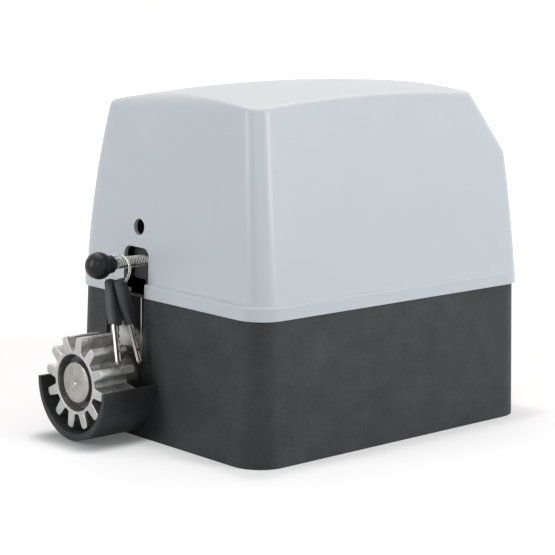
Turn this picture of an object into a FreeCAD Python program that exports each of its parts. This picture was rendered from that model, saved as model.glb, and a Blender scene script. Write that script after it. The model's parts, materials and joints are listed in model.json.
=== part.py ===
"""Sliding gate motor: a moulded base with a pinion guard, a lift-off cover, a worm gearbox with a
vertical induction motor, a clutch release with its lock and keys, and the control electronics.

Frame: X along the gate's travel, Y across it with the pinion on the -Y side, +Z up.
The origin is the centre of the base's underside. Millimetres.
"""
import FreeCAD
import Part
import math
import os

V = FreeCAD.Vector
X_AXIS = V(1, 0, 0)
Y_AXIS = V(0, 1, 0)
Z_AXIS = V(0, 0, 1)

# ---------------------------------------------------------------- driving dimensions

# base housing
base_width = 176.8            # along X, at the floor
base_depth = 232.7            # along Y, at the floor
gate_side = -base_depth / 2   # the drive, the release and the motor keep their distance from this side
base_height = 86.1
base_corner_r = 20.0          # vertical corners, at the floor
draft = 0.031                 # inward lean of the base walls per millimetre of height
base_wall = 3.5
base_floor = 5.0
base_rim_width = 6.5          # thickened top edge that the cover stands on
base_rim_height = 4.0
bolt_spacing_x = 151.0        # foundation bolts
bolt_spacing_y = 160.0
bolt_hole_r = 5.0
bolt_pad_r = 9.0
bolt_pad_height = 2.0
cable_x = 0.0                 # cable inlet in the floor
cable_y = 84.0
cable_hole_r = 11.0

# cover
cover_wall = 2.6
cover_rim_height = 8.4
cover_rim_out = 1.5           # how far the rim stands out past the top of the base
cover_rim_r = 1.2             # rounding of the rim's upper edge
side_leans = (2.7, 8.7, 16.4)  # inward lean of the side walls: above the rim, midway and near the top,
gate_leans = (4.2, 6.4, 11.0)  # of the wall on the gate side,
front_leans = (3.2, 6.3, 9.4)  # and of the wall away from the gate
lean_places = (0, 0.44, 0.817)  # where those leans are, as shares of the height from the rim to the top
cover_top_z = 213.9           # crown of the top
crown_rx = 405.0              # radius of the crown seen along Y
crown_ry = 1060.0             # radius of the crown seen along X
crown_x = 11.7                # place of the highest point
cover_corner_low = 13.0       # vertical corners at the rim
cover_corner_high = 11.2      # and at the top
cover_edge_r = 3.5            # rounding round the top
gate_edge_r = 7.0             # and along its edge on the gate side
slope_z0 = cover_top_z - 45.9  # sloped front: where it leaves the front wall,
slope_lean0 = 7.1             # how far in from the floor outline it starts,
slope_angle = 34.8            # and its lean from the vertical, degrees
steep = 20.0                  # an edge of the cover that rises by more than this is an upright one
foot_width = 3.2              # inner foot of the cover that presses on the seal
foot_height = 2.5
notch_x = -27.9               # release notch, also the rod's place
notch_width = 23.7
notch_top = 115.7
notch_r = 5.5
opening_reach = 25.0          # how far the notch and the key hole are cut in from the gate side
key_hole_x = -26.2
key_hole_z = 128.0
key_hole_r = 5.0

# seal between the base and the cover
seal_width = 2.0
seal_height = 2.0

# output shaft and pinion
shaft_x = -36.0
shaft_z = 35.8
shaft_r = 12.5
shaft_front = gate_side - 35.4  # front end of the shaft
shaft_back = gate_side + 86.35
centre_mark_r = 1.5
pinion_teeth = 12
module = 4.0
pinion_tip_r = 28.5
pinion_root_r = 19.75
pinion_front = gate_side - 36.25
pinion_width = 25.0
tooth_half_tip = 2.6          # half a tooth where its rounded tip begins,
tooth_half_pitch = 3.0        # at the pitch circle,
tooth_half_root = 3.3         # and at the root
tooth_tip_round = 0.8         # height of the rounded tip
root_dip = 0.45               # how far the root dips between two teeth
pinion_turn = 9.0             # first tooth, degrees from upright towards +X
recess_r = 17.4               # recess in the pinion's face round the shaft end
recess_depth = 8.4
washer_r = 16.4
washer_t = 2.0
circlip_r = 15.2
circlip_t = 1.5
circlip_groove = 0.8
circlip_gap = 34.0            # opening of the circlip, degrees
circlip_turn = 40.0           # middle of that opening, degrees from upright towards +X
drive_key_width = 7.0
drive_key_height = 6.0
drive_key_depth = 3.5         # how deep the parallel key lies in the shaft

# pinion guard
guard_inner_r = 30.7
guard_outer_r = 33.2
guard_drop = 1.7              # how far the outer curve lies below the shaft's axis
guard_top = 35.0
guard_front = gate_side - 38.95
slot_half = 18.0              # U-shaped opening in the base wall round the shaft

# running and seating clearances
running = 0.05                # shaft in a bearing or bore, radial
seat = 0.1                    # housing round a fixed piece, radial
free = 0.5                    # gap between pieces that move past each other
slip = 0.3                    # small side gap between pieces that lie side by side

# gearbox
box_x0 = -66.0
box_x1 = 16.0
box_front = gate_side + 6.15
box_back = gate_side + 84.35
box_top = 66.0
box_corner_r = 24.0
plate_front = gate_side + 3.75  # silver face of the gearbox in the base's opening
plate_top = 85.4
plate_thick = 6.6
plate_bevel = 0.7             # its two upright edges
lid_thick = 6.0
front_bearing_y = gate_side + 10.85
front_bearing_len = 10.0
front_bearing_r = 20.0
rear_bearing_y = gate_side + 76.35
rear_bearing_len = 8.0
rear_bearing_r = 18.5
seal_r = 15.5
seal_len = 6.4
seal_flange_r = 17.7
seal_flange_t = 1.5
gear_room_front = gate_side + 21.35  # front end of the gear chamber
gear_room_r = 27.5
box_screw_r = 2.5
box_screw_len = 13.0
box_screw_xs = (-58.0, 10.0)
box_screw_ys = (gate_side + 18.35, gate_side + 76.35)
screw_head_r = 4.5
screw_head_h = 3.0
lid_screw_r = 1.6

# worm gear
wheel_teeth = 32
worm_module = 1.5
wheel_y = gate_side + 70.35
wheel_face = 8.0
wheel_tip_r = 25.5
wheel_root_r = 22.2
wheel_hub_r = 18.0
wheel_hub_front = gate_side + 50.35
tooth_half = 0.95             # half a wheel tooth at the pitch circle
thread_half = 0.72            # half the worm's thread at its pitch circle
worm_pitch_r = 8.0
worm_tip_r = 9.5
worm_root_r = 6.2
worm_low = 20.0
worm_turns = 6
motor_shaft_r = 5.0
worm_bearing_r = 11.0
worm_bearing_len = 7.0
worm_bearing_low = 8.0
worm_bearing_high = 57.0

# clutch between the wheel and the shaft
sleeve_front = gate_side + 30.35
sleeve_r = 19.0
sleeve_back = wheel_hub_front
groove_front = gate_side + 35.85
groove_width = 5.0
groove_r = 15.5
dog_length = 5.0
dog_inner_r = 13.6
dog_outer_r = 17.2
dog_half_angle = 20.0
dog_play = 2.0                # side play of the dogs in the wheel, degrees
clutch_travel = 8.0
flat_depth = 1.6              # flats that carry the sleeve on the shaft

# release rod, knob, guide and fork
rod_r = 3.5
rod_z = 107.0
rod_back = gate_side + 41.35
rod_front = gate_side - 19.65
knob_r = 8.2
knob_y = gate_side - 24.05
collar_r = 6.0
collar_taper = 0.8            # how much the collar narrows towards the rod
collar_length = 5.5
collar_back = gate_side - 15.25
guide_front = gate_side + 11.05
guide_depth = 12.0
guide_width = 20.0
guide_low = 95.0
guide_top = 139.5
guide_leg_width = 8.0
guide_foot_height = 4.0
guide_screw_r = 1.5
fork_y = gate_side + 38.35
fork_thick = 4.0
fork_arm_width = 13.0
fork_width = 34.0
fork_low = 33.0
fork_boss_r = 7.0

# lock behind the round hole in the cover
lock_body_r = 7.0
lock_front = gate_side + 18.35
lock_back = gate_side + 32.35
lock_plug_r = 4.8
lock_cam_thick = 2.5
lock_cam_length = 11.0
keyway_width = 1.8
keyway_height = 7.0
keyway_depth = 11.0

# key ring and keys
ring_y = gate_side - 7.15
ring_inner_r = 9.0
ring_wire = 0.9
ring_loops_width = 1.8
ring_turn = 12.0              # how far the ring is turned round the upright, degrees
ring_lean = 20.0              # how far its lower end hangs out towards the gate, degrees
key_places = (-10.0, 34.0)    # place of each key on the ring, degrees from its lowest point
key_tips = (V(-8.0, gate_side - 23.65, 50.0), V(-12.0, gate_side - 4.65, 47.2))
key_head_length = 27.0
key_head_top = 7.4            # width at its top end,
key_head_width = 9.2          # at its widest,
key_head_foot = 8.0           # and at its lower end
key_head_thick = 5.2
key_hole_offset = 3.0         # from the head's top end to the hole
key_eye_r = 1.55
blade_width = 5.6
blade_thick = 2.0
blade_sunk = 4.0              # length of the blade inside the head

# motor
motor_x = -4.0
motor_r = 32.0
bell_height = 14.0
bell_wall = 3.0
stator_length = 56.0
stator_bore_r = 17.0
winding_inner_r = 19.0
winding_outer_r = 27.0
winding_height = 9.0
rotor_gap = 0.5
bolt_circle_r = 28.5
motor_bolt_r = 1.8
motor_bolt_sunk = 5.5         # how far a through bolt goes into the gearbox
platform_r = 33.5
platform_thick = 8.0
motor_shaft_over = 5.0        # how far the motor shaft stands out above the upper bell

# run capacitor and its clip
capacitor_x = 56.0
capacitor_y = gate_side + 64.35
capacitor_r = 17.5
capacitor_height = 72.0
clip_thick = 1.2
clip_height = 14.0
clip_z = 34.0

# electronics
bracket_y = 20.0
bracket_thick = 2.0
bracket_half = 68.0
bracket_top = 172.0
bracket_foot = 16.0
bracket_window = 40.0         # opening in the sheet for the cables
bracket_window_low = 14.0
bracket_window_top = 60.0
board_half = 62.0
board_low = 96.0
board_high = 166.0
board_thick = 1.6
board_gap = 6.0
board_hole_inset = 5.0
board_screw_r = 1.5
standoff_r = 3.0
relay_size = (19.0, 16.0, 15.0)
relay_xs = (-46.0, -22.0)
relay_z = 142.0
terminal_width = 5.08
terminal_count = 18
terminal_depth = 10.0
terminal_height = 12.0
terminal_z = 101.0
transformer_size = (42.0, 34.0, 36.0)
transformer_x = 34.0
transformer_z = 124.0
smoothing_cap_r = 6.0
smoothing_cap_len = 20.0
smoothing_cap_xs = (-6.5, 5.5)
smoothing_cap_z = 148.0
fuse_x = -40.0
fuse_z = 122.0
fuse_length = 20.0
fuse_r = 2.6
chip_x = -8.0
chip_z = 126.0
chip_size = (16.0, 2.2, 8.0)


# ---------------------------------------------------------------- small helpers

def box(x0, x1, y0, y1, z0, z1):
    """A box between two corners."""
    return Part.makeBox(x1 - x0, y1 - y0, z1 - z0, V(x0, y0, z0))


def rod_along_y(x, z, r, y0, y1):
    """A round bar along Y."""
    return Part.makeCylinder(r, y1 - y0, V(x, y0, z), Y_AXIS)


def rod_along_z(x, y, r, z0, z1):
    """A round bar along Z."""
    return Part.makeCylinder(r, z1 - z0, V(x, y, z0), Z_AXIS)


def rounded_wire(half_x, half_y, r, z):
    """A level rectangle with rounded corners, as four straight lines and four arcs."""
    s = math.sqrt(0.5)
    cx = half_x - r
    cy = half_y - r
    edges = []
    corners = ((1, 1), (-1, 1), (-1, -1), (1, -1))
    for n, (sx, sy) in enumerate(corners):
        if n % 2 == 0:
            start = V(sx * half_x, sy * cy, z)
            end = V(sx * cx, sy * half_y, z)
        else:
            start = V(sx * cx, sy * half_y, z)
            end = V(sx * half_x, sy * cy, z)
        middle = V(sx * (cx + r * s), sy * (cy + r * s), z)
        edges.append((start, middle, end))
    wire = []
    for n, (start, middle, end) in enumerate(edges):
        wire.append(Part.Arc(start, middle, end).toShape())
        following = edges[(n + 1) % 4][0]
        wire.append(Part.makeLine(end, following))
    return Part.Wire(wire)


def block(half_x, half_y, r, z0, z1):
    """An upright block with rounded corners."""
    return Part.Face(rounded_wire(half_x, half_y, r, z0)).extrude(V(0, 0, z1 - z0))


def drafted_block(half_x, half_y, r, z0, z1, lean):
    """An upright block with rounded corners whose walls lean in as they rise."""
    inset = lean * (z1 - z0)
    low = rounded_wire(half_x, half_y, r, z0)
    high = rounded_wire(half_x - inset, half_y - inset, r - inset, z1)
    return Part.makeLoft([low, high], True, True)


def fuse_all(shapes):
    """Join shapes into one and clean the seams."""
    first = shapes[0]
    if len(shapes) > 1:
        first = first.fuse(shapes[1:])
    return first.removeSplitter()


def cut_all(shape, tools):
    """Cut every tool from a shape."""
    return shape.cut(tools) if tools else shape


def hex_head(x, y, z0, z1, flat_r):
    """A hexagonal bolt head along Z."""
    r = flat_r / math.cos(math.pi / 6)
    corners = [V(x + r * math.cos(math.radians(60 * n)), y + r * math.sin(math.radians(60 * n)), z0)
               for n in range(6)]
    return Part.Face(Part.makePolygon(corners + corners[:1])).extrude(V(0, 0, z1 - z0))


os.makedirs("parts", exist_ok=True)


def save(name, shape):
    """Write one sub-part; several solids go out as one compound."""
    solids = shape.Solids
    out = solids[0] if len(solids) == 1 else Part.makeCompound(solids)
    out.exportStep("parts/%s.step" % name)


# ---------------------------------------------------------------- base housing

def base_half(z):
    """Half width and half depth of the base's outside at a height."""
    return base_width / 2 - draft * z, base_depth / 2 - draft * z


def slot_tool(half, y0, y1, top):
    """The U-shaped space round the shaft, open upwards."""
    around = rod_along_y(shaft_x, shaft_z, half, y0, y1)
    upright = box(shaft_x - half, shaft_x + half, y0, y1, shaft_z, top)
    return around.fuse(upright)


def make_base():
    half_x, half_y = base_half(0)
    shell = drafted_block(half_x, half_y, base_corner_r, 0, base_height, draft)
    rim_z = base_height - base_rim_height
    low_x, low_y = base_half(base_floor)
    room = drafted_block(low_x - base_wall, low_y - base_wall, base_corner_r - base_wall,
                         base_floor, rim_z, draft)
    top_x, top_y = base_half(base_height)
    mouth = block(top_x - base_rim_width, top_y - base_rim_width, base_corner_r - base_rim_width,
                  rim_z - 1, base_height + 1)
    shell = cut_all(shell, [room, mouth])

    pads = [rod_along_z(sx * bolt_spacing_x / 2, sy * bolt_spacing_y / 2, bolt_pad_r,
                        base_floor - 1, base_floor + bolt_pad_height)
            for sx in (-1, 1) for sy in (-1, 1)]
    pads = [pad.common(drafted_block(half_x - 1, half_y - 1, base_corner_r - 1, 0, base_height, draft))
            for pad in pads]
    body = fuse_all([shell] + pads)

    tools = [slot_tool(slot_half, -half_y - 1, -half_y + 2 * base_rim_width + 4, base_height + 1)]
    tools += [rod_along_z(sx * bolt_spacing_x / 2, sy * bolt_spacing_y / 2, bolt_hole_r, -1, 20)
              for sx in (-1, 1) for sy in (-1, 1)]
    tools.append(rod_along_z(cable_x, cable_y, cable_hole_r, -1, base_floor + 1))
    for x in box_screw_xs:
        for y in box_screw_ys:
            tools.append(rod_along_z(x, y, box_screw_r + seat, -1, base_floor + 1))
            tools.append(rod_along_z(x, y, screw_head_r + slip, -1, screw_head_h + slip))
    tools.append(seal_ring(seal_groove=True))
    return body.cut(tools)


def make_guard():
    """The tray round the lower half of the pinion, set against the base's wall."""
    half_x, half_y = base_half(0)
    tray = rod_along_y(shaft_x, shaft_z - guard_drop, guard_outer_r, guard_front, -half_y + base_wall)
    hollow = rod_along_y(shaft_x, shaft_z, guard_inner_r, guard_front - 1, 0)
    upper = box(shaft_x - 2 * guard_outer_r, shaft_x + 2 * guard_outer_r, guard_front - 1, 0,
                guard_top, base_height)
    housing = drafted_block(half_x, half_y, base_corner_r, 0, base_height, draft)
    return tray.cut([hollow, upper, housing])


def seal_ring(seal_groove=False):
    """The rubber seal, or the groove it lies in, on top of the base's rim."""
    top_x, top_y = base_half(base_height)
    inset = base_rim_width - seal_width - 1.0
    grow = seat if seal_groove else 0.0
    z0 = base_height - seal_height + (0 if seal_groove else seat)
    z1 = base_height + (1 if seal_groove else 0)
    outer = block(top_x - inset + grow, top_y - inset + grow, base_corner_r - inset, z0, z1)
    inner = block(top_x - inset - seal_width - grow, top_y - inset - seal_width - grow,
                  base_corner_r - inset - seal_width, z0 - 1, z1 + 1)
    ring = outer.cut(inner)
    gap = box(shaft_x - slot_half - 3, shaft_x + slot_half + 3, -base_depth, 0, z0 - 2, z1 + 2)
    return ring.cut(gap)


# ---------------------------------------------------------------- cover

def wall_reach(half, leans, z):
    """How far out a wall of the cover stands at a height, for its half width at the floor."""
    low = base_height + cover_rim_height
    points = [V(half - lean, 0, low + place * (cover_top_z - low))
              for lean, place in zip(leans, lean_places)]
    circle = Part.Arc(*points).toShape().Curve
    return circle.Center.x + math.sqrt(circle.Radius ** 2 - (z - circle.Center.z) ** 2)


def wall_arc(half, leans, sign, z0, z1):
    """The wall's curve from one height to another, in the XZ plane."""
    points = [V(sign * wall_reach(half, leans, z), 0, z) for z in (z0, (z0 + z1) / 2, z1)]
    return Part.Arc(*points).toShape()


def slope_reach(inset, z):
    """How far out the sloped front stands at a height, with the surface moved in by an inset."""
    slope = math.radians(slope_angle)
    start = base_depth / 2 - slope_lean0 - (z - slope_z0) * math.tan(slope)
    return start - inset / math.cos(slope)


def slope_start(inset):
    """The height at which the front wall and the slope meet."""
    low = base_height
    high = cover_top_z
    half = base_depth / 2 - inset
    for _ in range(50):
        middle = (low + high) / 2
        if slope_reach(inset, middle) > wall_reach(half, front_leans, middle):
            low = middle
        else:
            high = middle
    return low


def cover_form(inset, z0):
    """The cover's rounded form from a height up, moved in by an inset on every side."""
    lid = cover_top_z + 20
    half_x = base_width / 2 - inset
    half_y = base_depth / 2 - inset

    left = wall_arc(half_x, side_leans, -1, z0, lid)
    right = wall_arc(half_x, side_leans, 1, lid, z0)
    outline = [left, Part.makeLine(left.lastVertex().Point, right.firstVertex().Point), right,
               Part.makeLine(right.lastVertex().Point, left.firstVertex().Point)]
    seen_along_y = Part.Face(Part.Wire(Part.__sortEdges__(outline)))
    seen_along_y.translate(V(0, -base_depth, 0))
    across_x = seen_along_y.extrude(V(0, 2 * base_depth, 0))

    z_bend = slope_start(inset)
    back = wall_arc(half_y, gate_leans, -1, z0, lid)
    front = wall_arc(half_y, front_leans, 1, z0, z_bend)
    slope_end = V(slope_reach(inset, lid), 0, lid)
    outline = [back, Part.makeLine(back.lastVertex().Point, slope_end),
               Part.makeLine(slope_end, front.lastVertex().Point), front,
               Part.makeLine(front.firstVertex().Point, back.firstVertex().Point)]
    seen_along_x = Part.Face(Part.Wire(Part.__sortEdges__(outline)))
    seen_along_x.rotate(V(0, 0, 0), Z_AXIS, 90)
    seen_along_x.translate(V(-base_width, 0, 0))
    across_y = seen_along_x.extrude(V(2 * base_width, 0, 0))

    top = cover_top_z - inset
    reach = base_width
    depth = cover_top_z - base_height + 40
    centre_z = top - crown_rx
    edge_z = centre_z + math.sqrt(crown_rx ** 2 - reach ** 2)
    corners = [V(reach, 0, edge_z), V(reach, 0, top - depth), V(-reach, 0, top - depth), V(-reach, 0, edge_z)]
    crown_arc = Part.Arc(corners[3], V(0, 0, top), corners[0]).toShape()
    profile = Part.Face(Part.Wire([crown_arc] + Part.makePolygon(corners).Edges))
    profile.translate(V(crown_x, 0, 0))
    hub = V(0, 0, top - crown_ry)
    sweep = math.degrees(base_depth * 0.8 / crown_ry)
    profile.rotate(hub, X_AXIS, -sweep)
    crown = profile.revolve(hub, X_AXIS, 2 * sweep)

    form = across_x.common(across_y).common(crown).Solids[0]
    form = round_edges(form, upright_radii(form, z0, inset))
    return round_edges(form, loop_radii(form, inset))


def corner_radius(z, z0):
    """The radius of the cover's vertical corners at a height."""
    part = (z - z0) / (cover_top_z - z0)
    return cover_corner_low + (cover_corner_high - cover_corner_low) * part


def upright_radii(form, z0, inset):
    """The number of each upright edge and the two radii of its rounding."""
    radii = []
    for n, edge in enumerate(form.Edges):
        if edge.BoundBox.ZLength > steep:
            first = edge.Vertexes[0].Z
            last = edge.Vertexes[-1].Z
            radii.append((n + 1, corner_radius(first, z0) - inset, corner_radius(last, z0) - inset))
    return radii


def loop_radii(form, inset):
    """The number of each edge round the top and the two radii of its rounding."""
    radii = []
    near_gate = form.BoundBox.YMin + cover_corner_low
    for n, edge in enumerate(form.Edges):
        if edge.BoundBox.ZMin > slope_z0 + steep and edge.BoundBox.ZLength < steep:
            ends = [gate_edge_r if v.Y < near_gate else cover_edge_r
                    for v in (edge.Vertexes[0], edge.Vertexes[-1])]
            radii.append((n + 1, ends[0] - inset, ends[1] - inset))
    return radii


def round_edges(shape, radii):
    """Round numbered edges, each from one radius to another."""
    document = FreeCAD.newDocument()
    before = document.addObject("Part::Feature")
    before.Shape = shape
    rounded = document.addObject("Part::Fillet")
    rounded.Base = before
    rounded.Edges = radii
    document.recompute()
    result = rounded.Shape.copy()
    FreeCAD.closeDocument(document.Name)
    return result


def make_cover():
    rim_z = base_height + cover_rim_height
    top_x, top_y = base_half(base_height)
    rim = block(top_x + cover_rim_out, top_y + cover_rim_out, base_corner_r - base_wall / 2,
                base_height, rim_z)
    upper = [e for e in rim.Edges if e.BoundBox.ZMin > rim_z - 0.01]
    rim = rim.makeFillet(cover_rim_r, upper)
    outer = cover_form(0, base_height)
    inner = cover_form(cover_wall, base_height - 5)
    shell = fuse_all([rim, outer]).cut(inner)
    foot_x = wall_reach(base_width / 2 - cover_wall, side_leans, base_height)
    foot_gate = wall_reach(base_depth / 2 - cover_wall, gate_leans, base_height)
    foot_front = wall_reach(base_depth / 2 - cover_wall, front_leans, base_height)
    foot_y = (foot_gate + foot_front) / 2
    corner = cover_corner_low - cover_wall
    foot = block(foot_x + 1, foot_y + 1, corner + 1, base_height, base_height + foot_height)
    foot = foot.cut(block(foot_x - foot_width, foot_y - foot_width, corner - foot_width,
                          base_height - 1, base_height + foot_height + 1))
    foot.translate(V(0, (foot_front - foot_gate) / 2, 0))
    shell = fuse_all([shell, foot])

    half = notch_width / 2
    notch = box(notch_x - half, notch_x + half, -base_depth, gate_side + opening_reach,
                base_height - 1, notch_top)
    upper = [e for e in notch.Edges if e.BoundBox.YLength > opening_reach and e.BoundBox.ZMin > notch_top - 1]
    notch = notch.makeFillet(notch_r, upper)
    key_hole = rod_along_y(key_hole_x, key_hole_z, key_hole_r, -base_depth, gate_side + opening_reach)
    return shell.cut([notch, key_hole])


# ---------------------------------------------------------------- output shaft and pinion

def turned(angle, r, y):
    """A point round the output shaft, at an angle from upright towards +X."""
    a = math.radians(angle)
    return V(shaft_x + r * math.sin(a), y, shaft_z + r * math.cos(a))


def pinion_outline():
    """The pinion's outline: rounded tips, curved flanks and round roots, tooth by tooth."""
    pitch_r = module * pinion_teeth / 2
    step = 360.0 / pinion_teeth
    shoulder_r = pinion_tip_r - tooth_tip_round
    half_pitch = math.degrees(tooth_half_pitch / pitch_r)
    half_tip = math.degrees(tooth_half_tip / shoulder_r)
    half_base = math.degrees(tooth_half_root / pinion_root_r)
    edges = []
    for n in range(pinion_teeth):
        middle = pinion_turn + n * step
        left_root = turned(middle - half_base, pinion_root_r, pinion_front)
        left_pitch = turned(middle - half_pitch, pitch_r, pinion_front)
        left_tip = turned(middle - half_tip, shoulder_r, pinion_front)
        tip = turned(middle, pinion_tip_r, pinion_front)
        right_tip = turned(middle + half_tip, shoulder_r, pinion_front)
        right_pitch = turned(middle + half_pitch, pitch_r, pinion_front)
        right_root = turned(middle + half_base, pinion_root_r, pinion_front)
        next_root = turned(middle + step - half_base, pinion_root_r, pinion_front)
        between = turned(middle + step / 2, pinion_root_r - root_dip, pinion_front)
        edges.append(Part.Arc(left_root, left_pitch, left_tip).toShape())
        edges.append(Part.Arc(left_tip, tip, right_tip).toShape())
        edges.append(Part.Arc(right_tip, right_pitch, right_root).toShape())
        edges.append(Part.Arc(right_root, between, next_root).toShape())
    return Part.Wire(edges)


def key_slot(grow):
    """The space of the parallel key between shaft and pinion, below the shaft's axis."""
    y0 = pinion_front + recess_depth + 1.5
    y1 = pinion_front + pinion_width - 1.5
    low = shaft_z - shaft_r + drive_key_depth
    half = drive_key_width / 2 + grow
    return box(shaft_x - half, shaft_x + half, y0 - grow, y1 + grow,
               low - drive_key_height - grow, low)


def make_pinion():
    blank = Part.Face(pinion_outline()).extrude(V(0, pinion_width, 0))
    bore = rod_along_y(shaft_x, shaft_z, shaft_r + running, pinion_front - 1,
                       pinion_front + pinion_width + 1)
    recess = rod_along_y(shaft_x, shaft_z, recess_r, pinion_front - 1, pinion_front + recess_depth)
    return blank.cut([bore, recess, key_slot(0.05)])


def make_shaft():
    shaft = rod_along_y(shaft_x, shaft_z, shaft_r, shaft_front, shaft_back)
    ends = [e for e in shaft.Edges if e.Curve.TypeId == "Part::GeomCircle"]
    shaft = shaft.makeChamfer(0.6, ends)
    groove_y = pinion_front + recess_depth - washer_t - circlip_t
    groove = rod_along_y(shaft_x, shaft_z, shaft_r + 1, groove_y - slip / 2, groove_y + circlip_t)
    groove = groove.cut(rod_along_y(shaft_x, shaft_z, shaft_r - circlip_groove, groove_y - 1, groove_y + 5))
    mark = Part.makeCone(centre_mark_r, 0, centre_mark_r, V(shaft_x, shaft_front, shaft_z), Y_AXIS)
    flats = [box(shaft_x - 20, shaft_x + 20, sleeve_front - clutch_travel - 1, wheel_hub_front,
                 shaft_z + sign * (shaft_r - flat_depth / 2) - flat_depth / 2,
                 shaft_z + sign * (shaft_r - flat_depth / 2) + flat_depth / 2)
             for sign in (-1, 1)]
    return shaft.cut([groove, mark, key_slot(0.0)] + flats)


def make_washer():
    y1 = pinion_front + recess_depth
    disc = rod_along_y(shaft_x, shaft_z, washer_r, y1 - washer_t, y1)
    return disc.cut(rod_along_y(shaft_x, shaft_z, shaft_r + running, y1 - washer_t - 1, y1 + 1))


def make_circlip():
    """A retaining ring whose band widens opposite its opening, with two pierced ears."""
    y1 = pinion_front + recess_depth - washer_t
    y0 = y1 - circlip_t
    inner_r = shaft_r - circlip_groove
    a = math.radians(circlip_turn)
    shift = 0.5
    ring = rod_along_y(shaft_x - shift * math.sin(a), shaft_z - shift * math.cos(a),
                       circlip_r - shift, y0, y1)
    ear_r = 1.7
    ear_turn = circlip_gap / 2 + 6
    ears = []
    holes = []
    for sign in (-1, 1):
        p = turned(circlip_turn + sign * ear_turn, circlip_r - ear_r - 0.4, y0)
        ears.append(rod_along_y(p.x, p.z, ear_r, y0, y1))
        holes.append(rod_along_y(p.x, p.z, 0.75, y0 - 1, y1 + 1))
    ring = fuse_all([ring] + ears)
    side = 2 * circlip_r
    p0 = V(shaft_x, y0 - 1, shaft_z)
    p1 = turned(circlip_turn - circlip_gap / 2, side, y0 - 1)
    p2 = turned(circlip_turn + circlip_gap / 2, side, y0 - 1)
    wedge = Part.Face(Part.makePolygon([p0, p1, p2, p0])).extrude(V(0, circlip_t + 2, 0))
    bore = rod_along_y(shaft_x, shaft_z, inner_r, y0 - 1, y1 + 1)
    return ring.cut([bore, wedge] + holes)


# ---------------------------------------------------------------- worm gear and clutch

def wheel_outline(y):
    pitch_r = worm_module * wheel_teeth / 2
    step = 360.0 / wheel_teeth
    slope = math.tan(math.radians(20))
    half_tip = math.degrees((tooth_half - (wheel_tip_r - pitch_r) * slope) / pitch_r)
    half_root = math.degrees((tooth_half + (pitch_r - wheel_root_r) * slope) / pitch_r)
    points = []
    for n in range(wheel_teeth):
        middle = 90.0 + step / 2 + n * step
        for angle, r in ((-half_root, wheel_root_r), (-half_tip, wheel_tip_r),
                         (half_tip, wheel_tip_r), (half_root, wheel_root_r)):
            points.append(turned(middle + angle, r, y))
    return Part.makePolygon(points + points[:1])


def dog_sector(middle, half_angle, inner_r, outer_r, y0, y1):
    """A block between two radii and two angles round the output shaft."""
    p = [turned(middle - half_angle, inner_r, y0), turned(middle, inner_r, y0),
         turned(middle + half_angle, inner_r, y0), turned(middle + half_angle, outer_r, y0),
         turned(middle, outer_r, y0), turned(middle - half_angle, outer_r, y0)]
    edges = [Part.Arc(p[0], p[1], p[2]).toShape(), Part.makeLine(p[2], p[3]),
             Part.Arc(p[3], p[4], p[5]).toShape(), Part.makeLine(p[5], p[0])]
    return Part.Face(Part.Wire(edges)).extrude(V(0, y1 - y0, 0))


def make_wheel():
    y0 = wheel_y - wheel_face / 2
    rim = Part.Face(wheel_outline(y0)).extrude(V(0, wheel_face, 0))
    hub = rod_along_y(shaft_x, shaft_z, wheel_hub_r, wheel_hub_front, y0 + 1)
    bore = rod_along_y(shaft_x, shaft_z, shaft_r + running, wheel_hub_front - 1, 0)
    slots = [dog_sector(90 * n, dog_half_angle + dog_play, dog_inner_r - slip, dog_outer_r + slip,
                        wheel_hub_front - 1, wheel_hub_front + dog_length + slip)
             for n in range(4)]
    return fuse_all([rim, hub]).cut([bore] + slots)


def make_sleeve():
    body = rod_along_y(shaft_x, shaft_z, sleeve_r, sleeve_front, sleeve_back - slip)
    groove = rod_along_y(shaft_x, shaft_z, sleeve_r + 1, groove_front, groove_front + groove_width)
    groove = groove.cut(rod_along_y(shaft_x, shaft_z, groove_r, groove_front - 1,
                                    groove_front + groove_width + 1))
    dogs = [dog_sector(90 * n, dog_half_angle, dog_inner_r, dog_outer_r, sleeve_back - slip - 1,
                       sleeve_back + dog_length)
            for n in range(4)]
    bore = rod_along_y(shaft_x, shaft_z, shaft_r + running, sleeve_front - 1, 0)
    flat = shaft_r - flat_depth + running
    bore = bore.common(box(shaft_x - 20, shaft_x + 20, sleeve_front - 1, 0,
                           shaft_z - flat, shaft_z + flat))
    return fuse_all([body] + dogs).cut([groove, bore])


def make_worm():
    pitch = math.pi * worm_module
    slope = math.tan(math.radians(20))
    half_tip = thread_half - (worm_tip_r - worm_pitch_r) * slope
    half_root = thread_half + (worm_pitch_r - worm_root_r + 0.3) * slope
    sunk_r = worm_root_r - 0.3
    turns_down = round((shaft_z - worm_low) / pitch - 0.5)
    start = shaft_z - (turns_down + 0.5) * pitch
    helix = Part.makeHelix(pitch, worm_turns * pitch, worm_pitch_r)
    profile = Part.makePolygon([V(sunk_r, 0, -half_root), V(worm_tip_r, 0, -half_tip),
                                V(worm_tip_r, 0, half_tip), V(sunk_r, 0, half_root),
                                V(sunk_r, 0, -half_root)])
    thread = Part.Wire(helix.Edges).makePipeShell([profile], True, True)
    thread.translate(V(motor_x, wheel_y, start))
    low = worm_bearing_low + worm_bearing_len
    core = rod_along_z(motor_x, wheel_y, worm_root_r, low, worm_bearing_high)
    top = box_top + 2 * bell_height + stator_length + motor_shaft_over
    shaft = rod_along_z(motor_x, wheel_y, motor_shaft_r, worm_bearing_low, top)
    return fuse_all([core, shaft]).fuse(thread)


def ring_along_y(x, z, outer_r, inner_r, y0, y1):
    return rod_along_y(x, z, outer_r, y0, y1).cut(rod_along_y(x, z, inner_r, y0 - 1, y1 + 1))


def ring_along_z(x, y, outer_r, inner_r, z0, z1):
    return rod_along_z(x, y, outer_r, z0, z1).cut(rod_along_z(x, y, inner_r, z0 - 1, z1 + 1))


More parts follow.
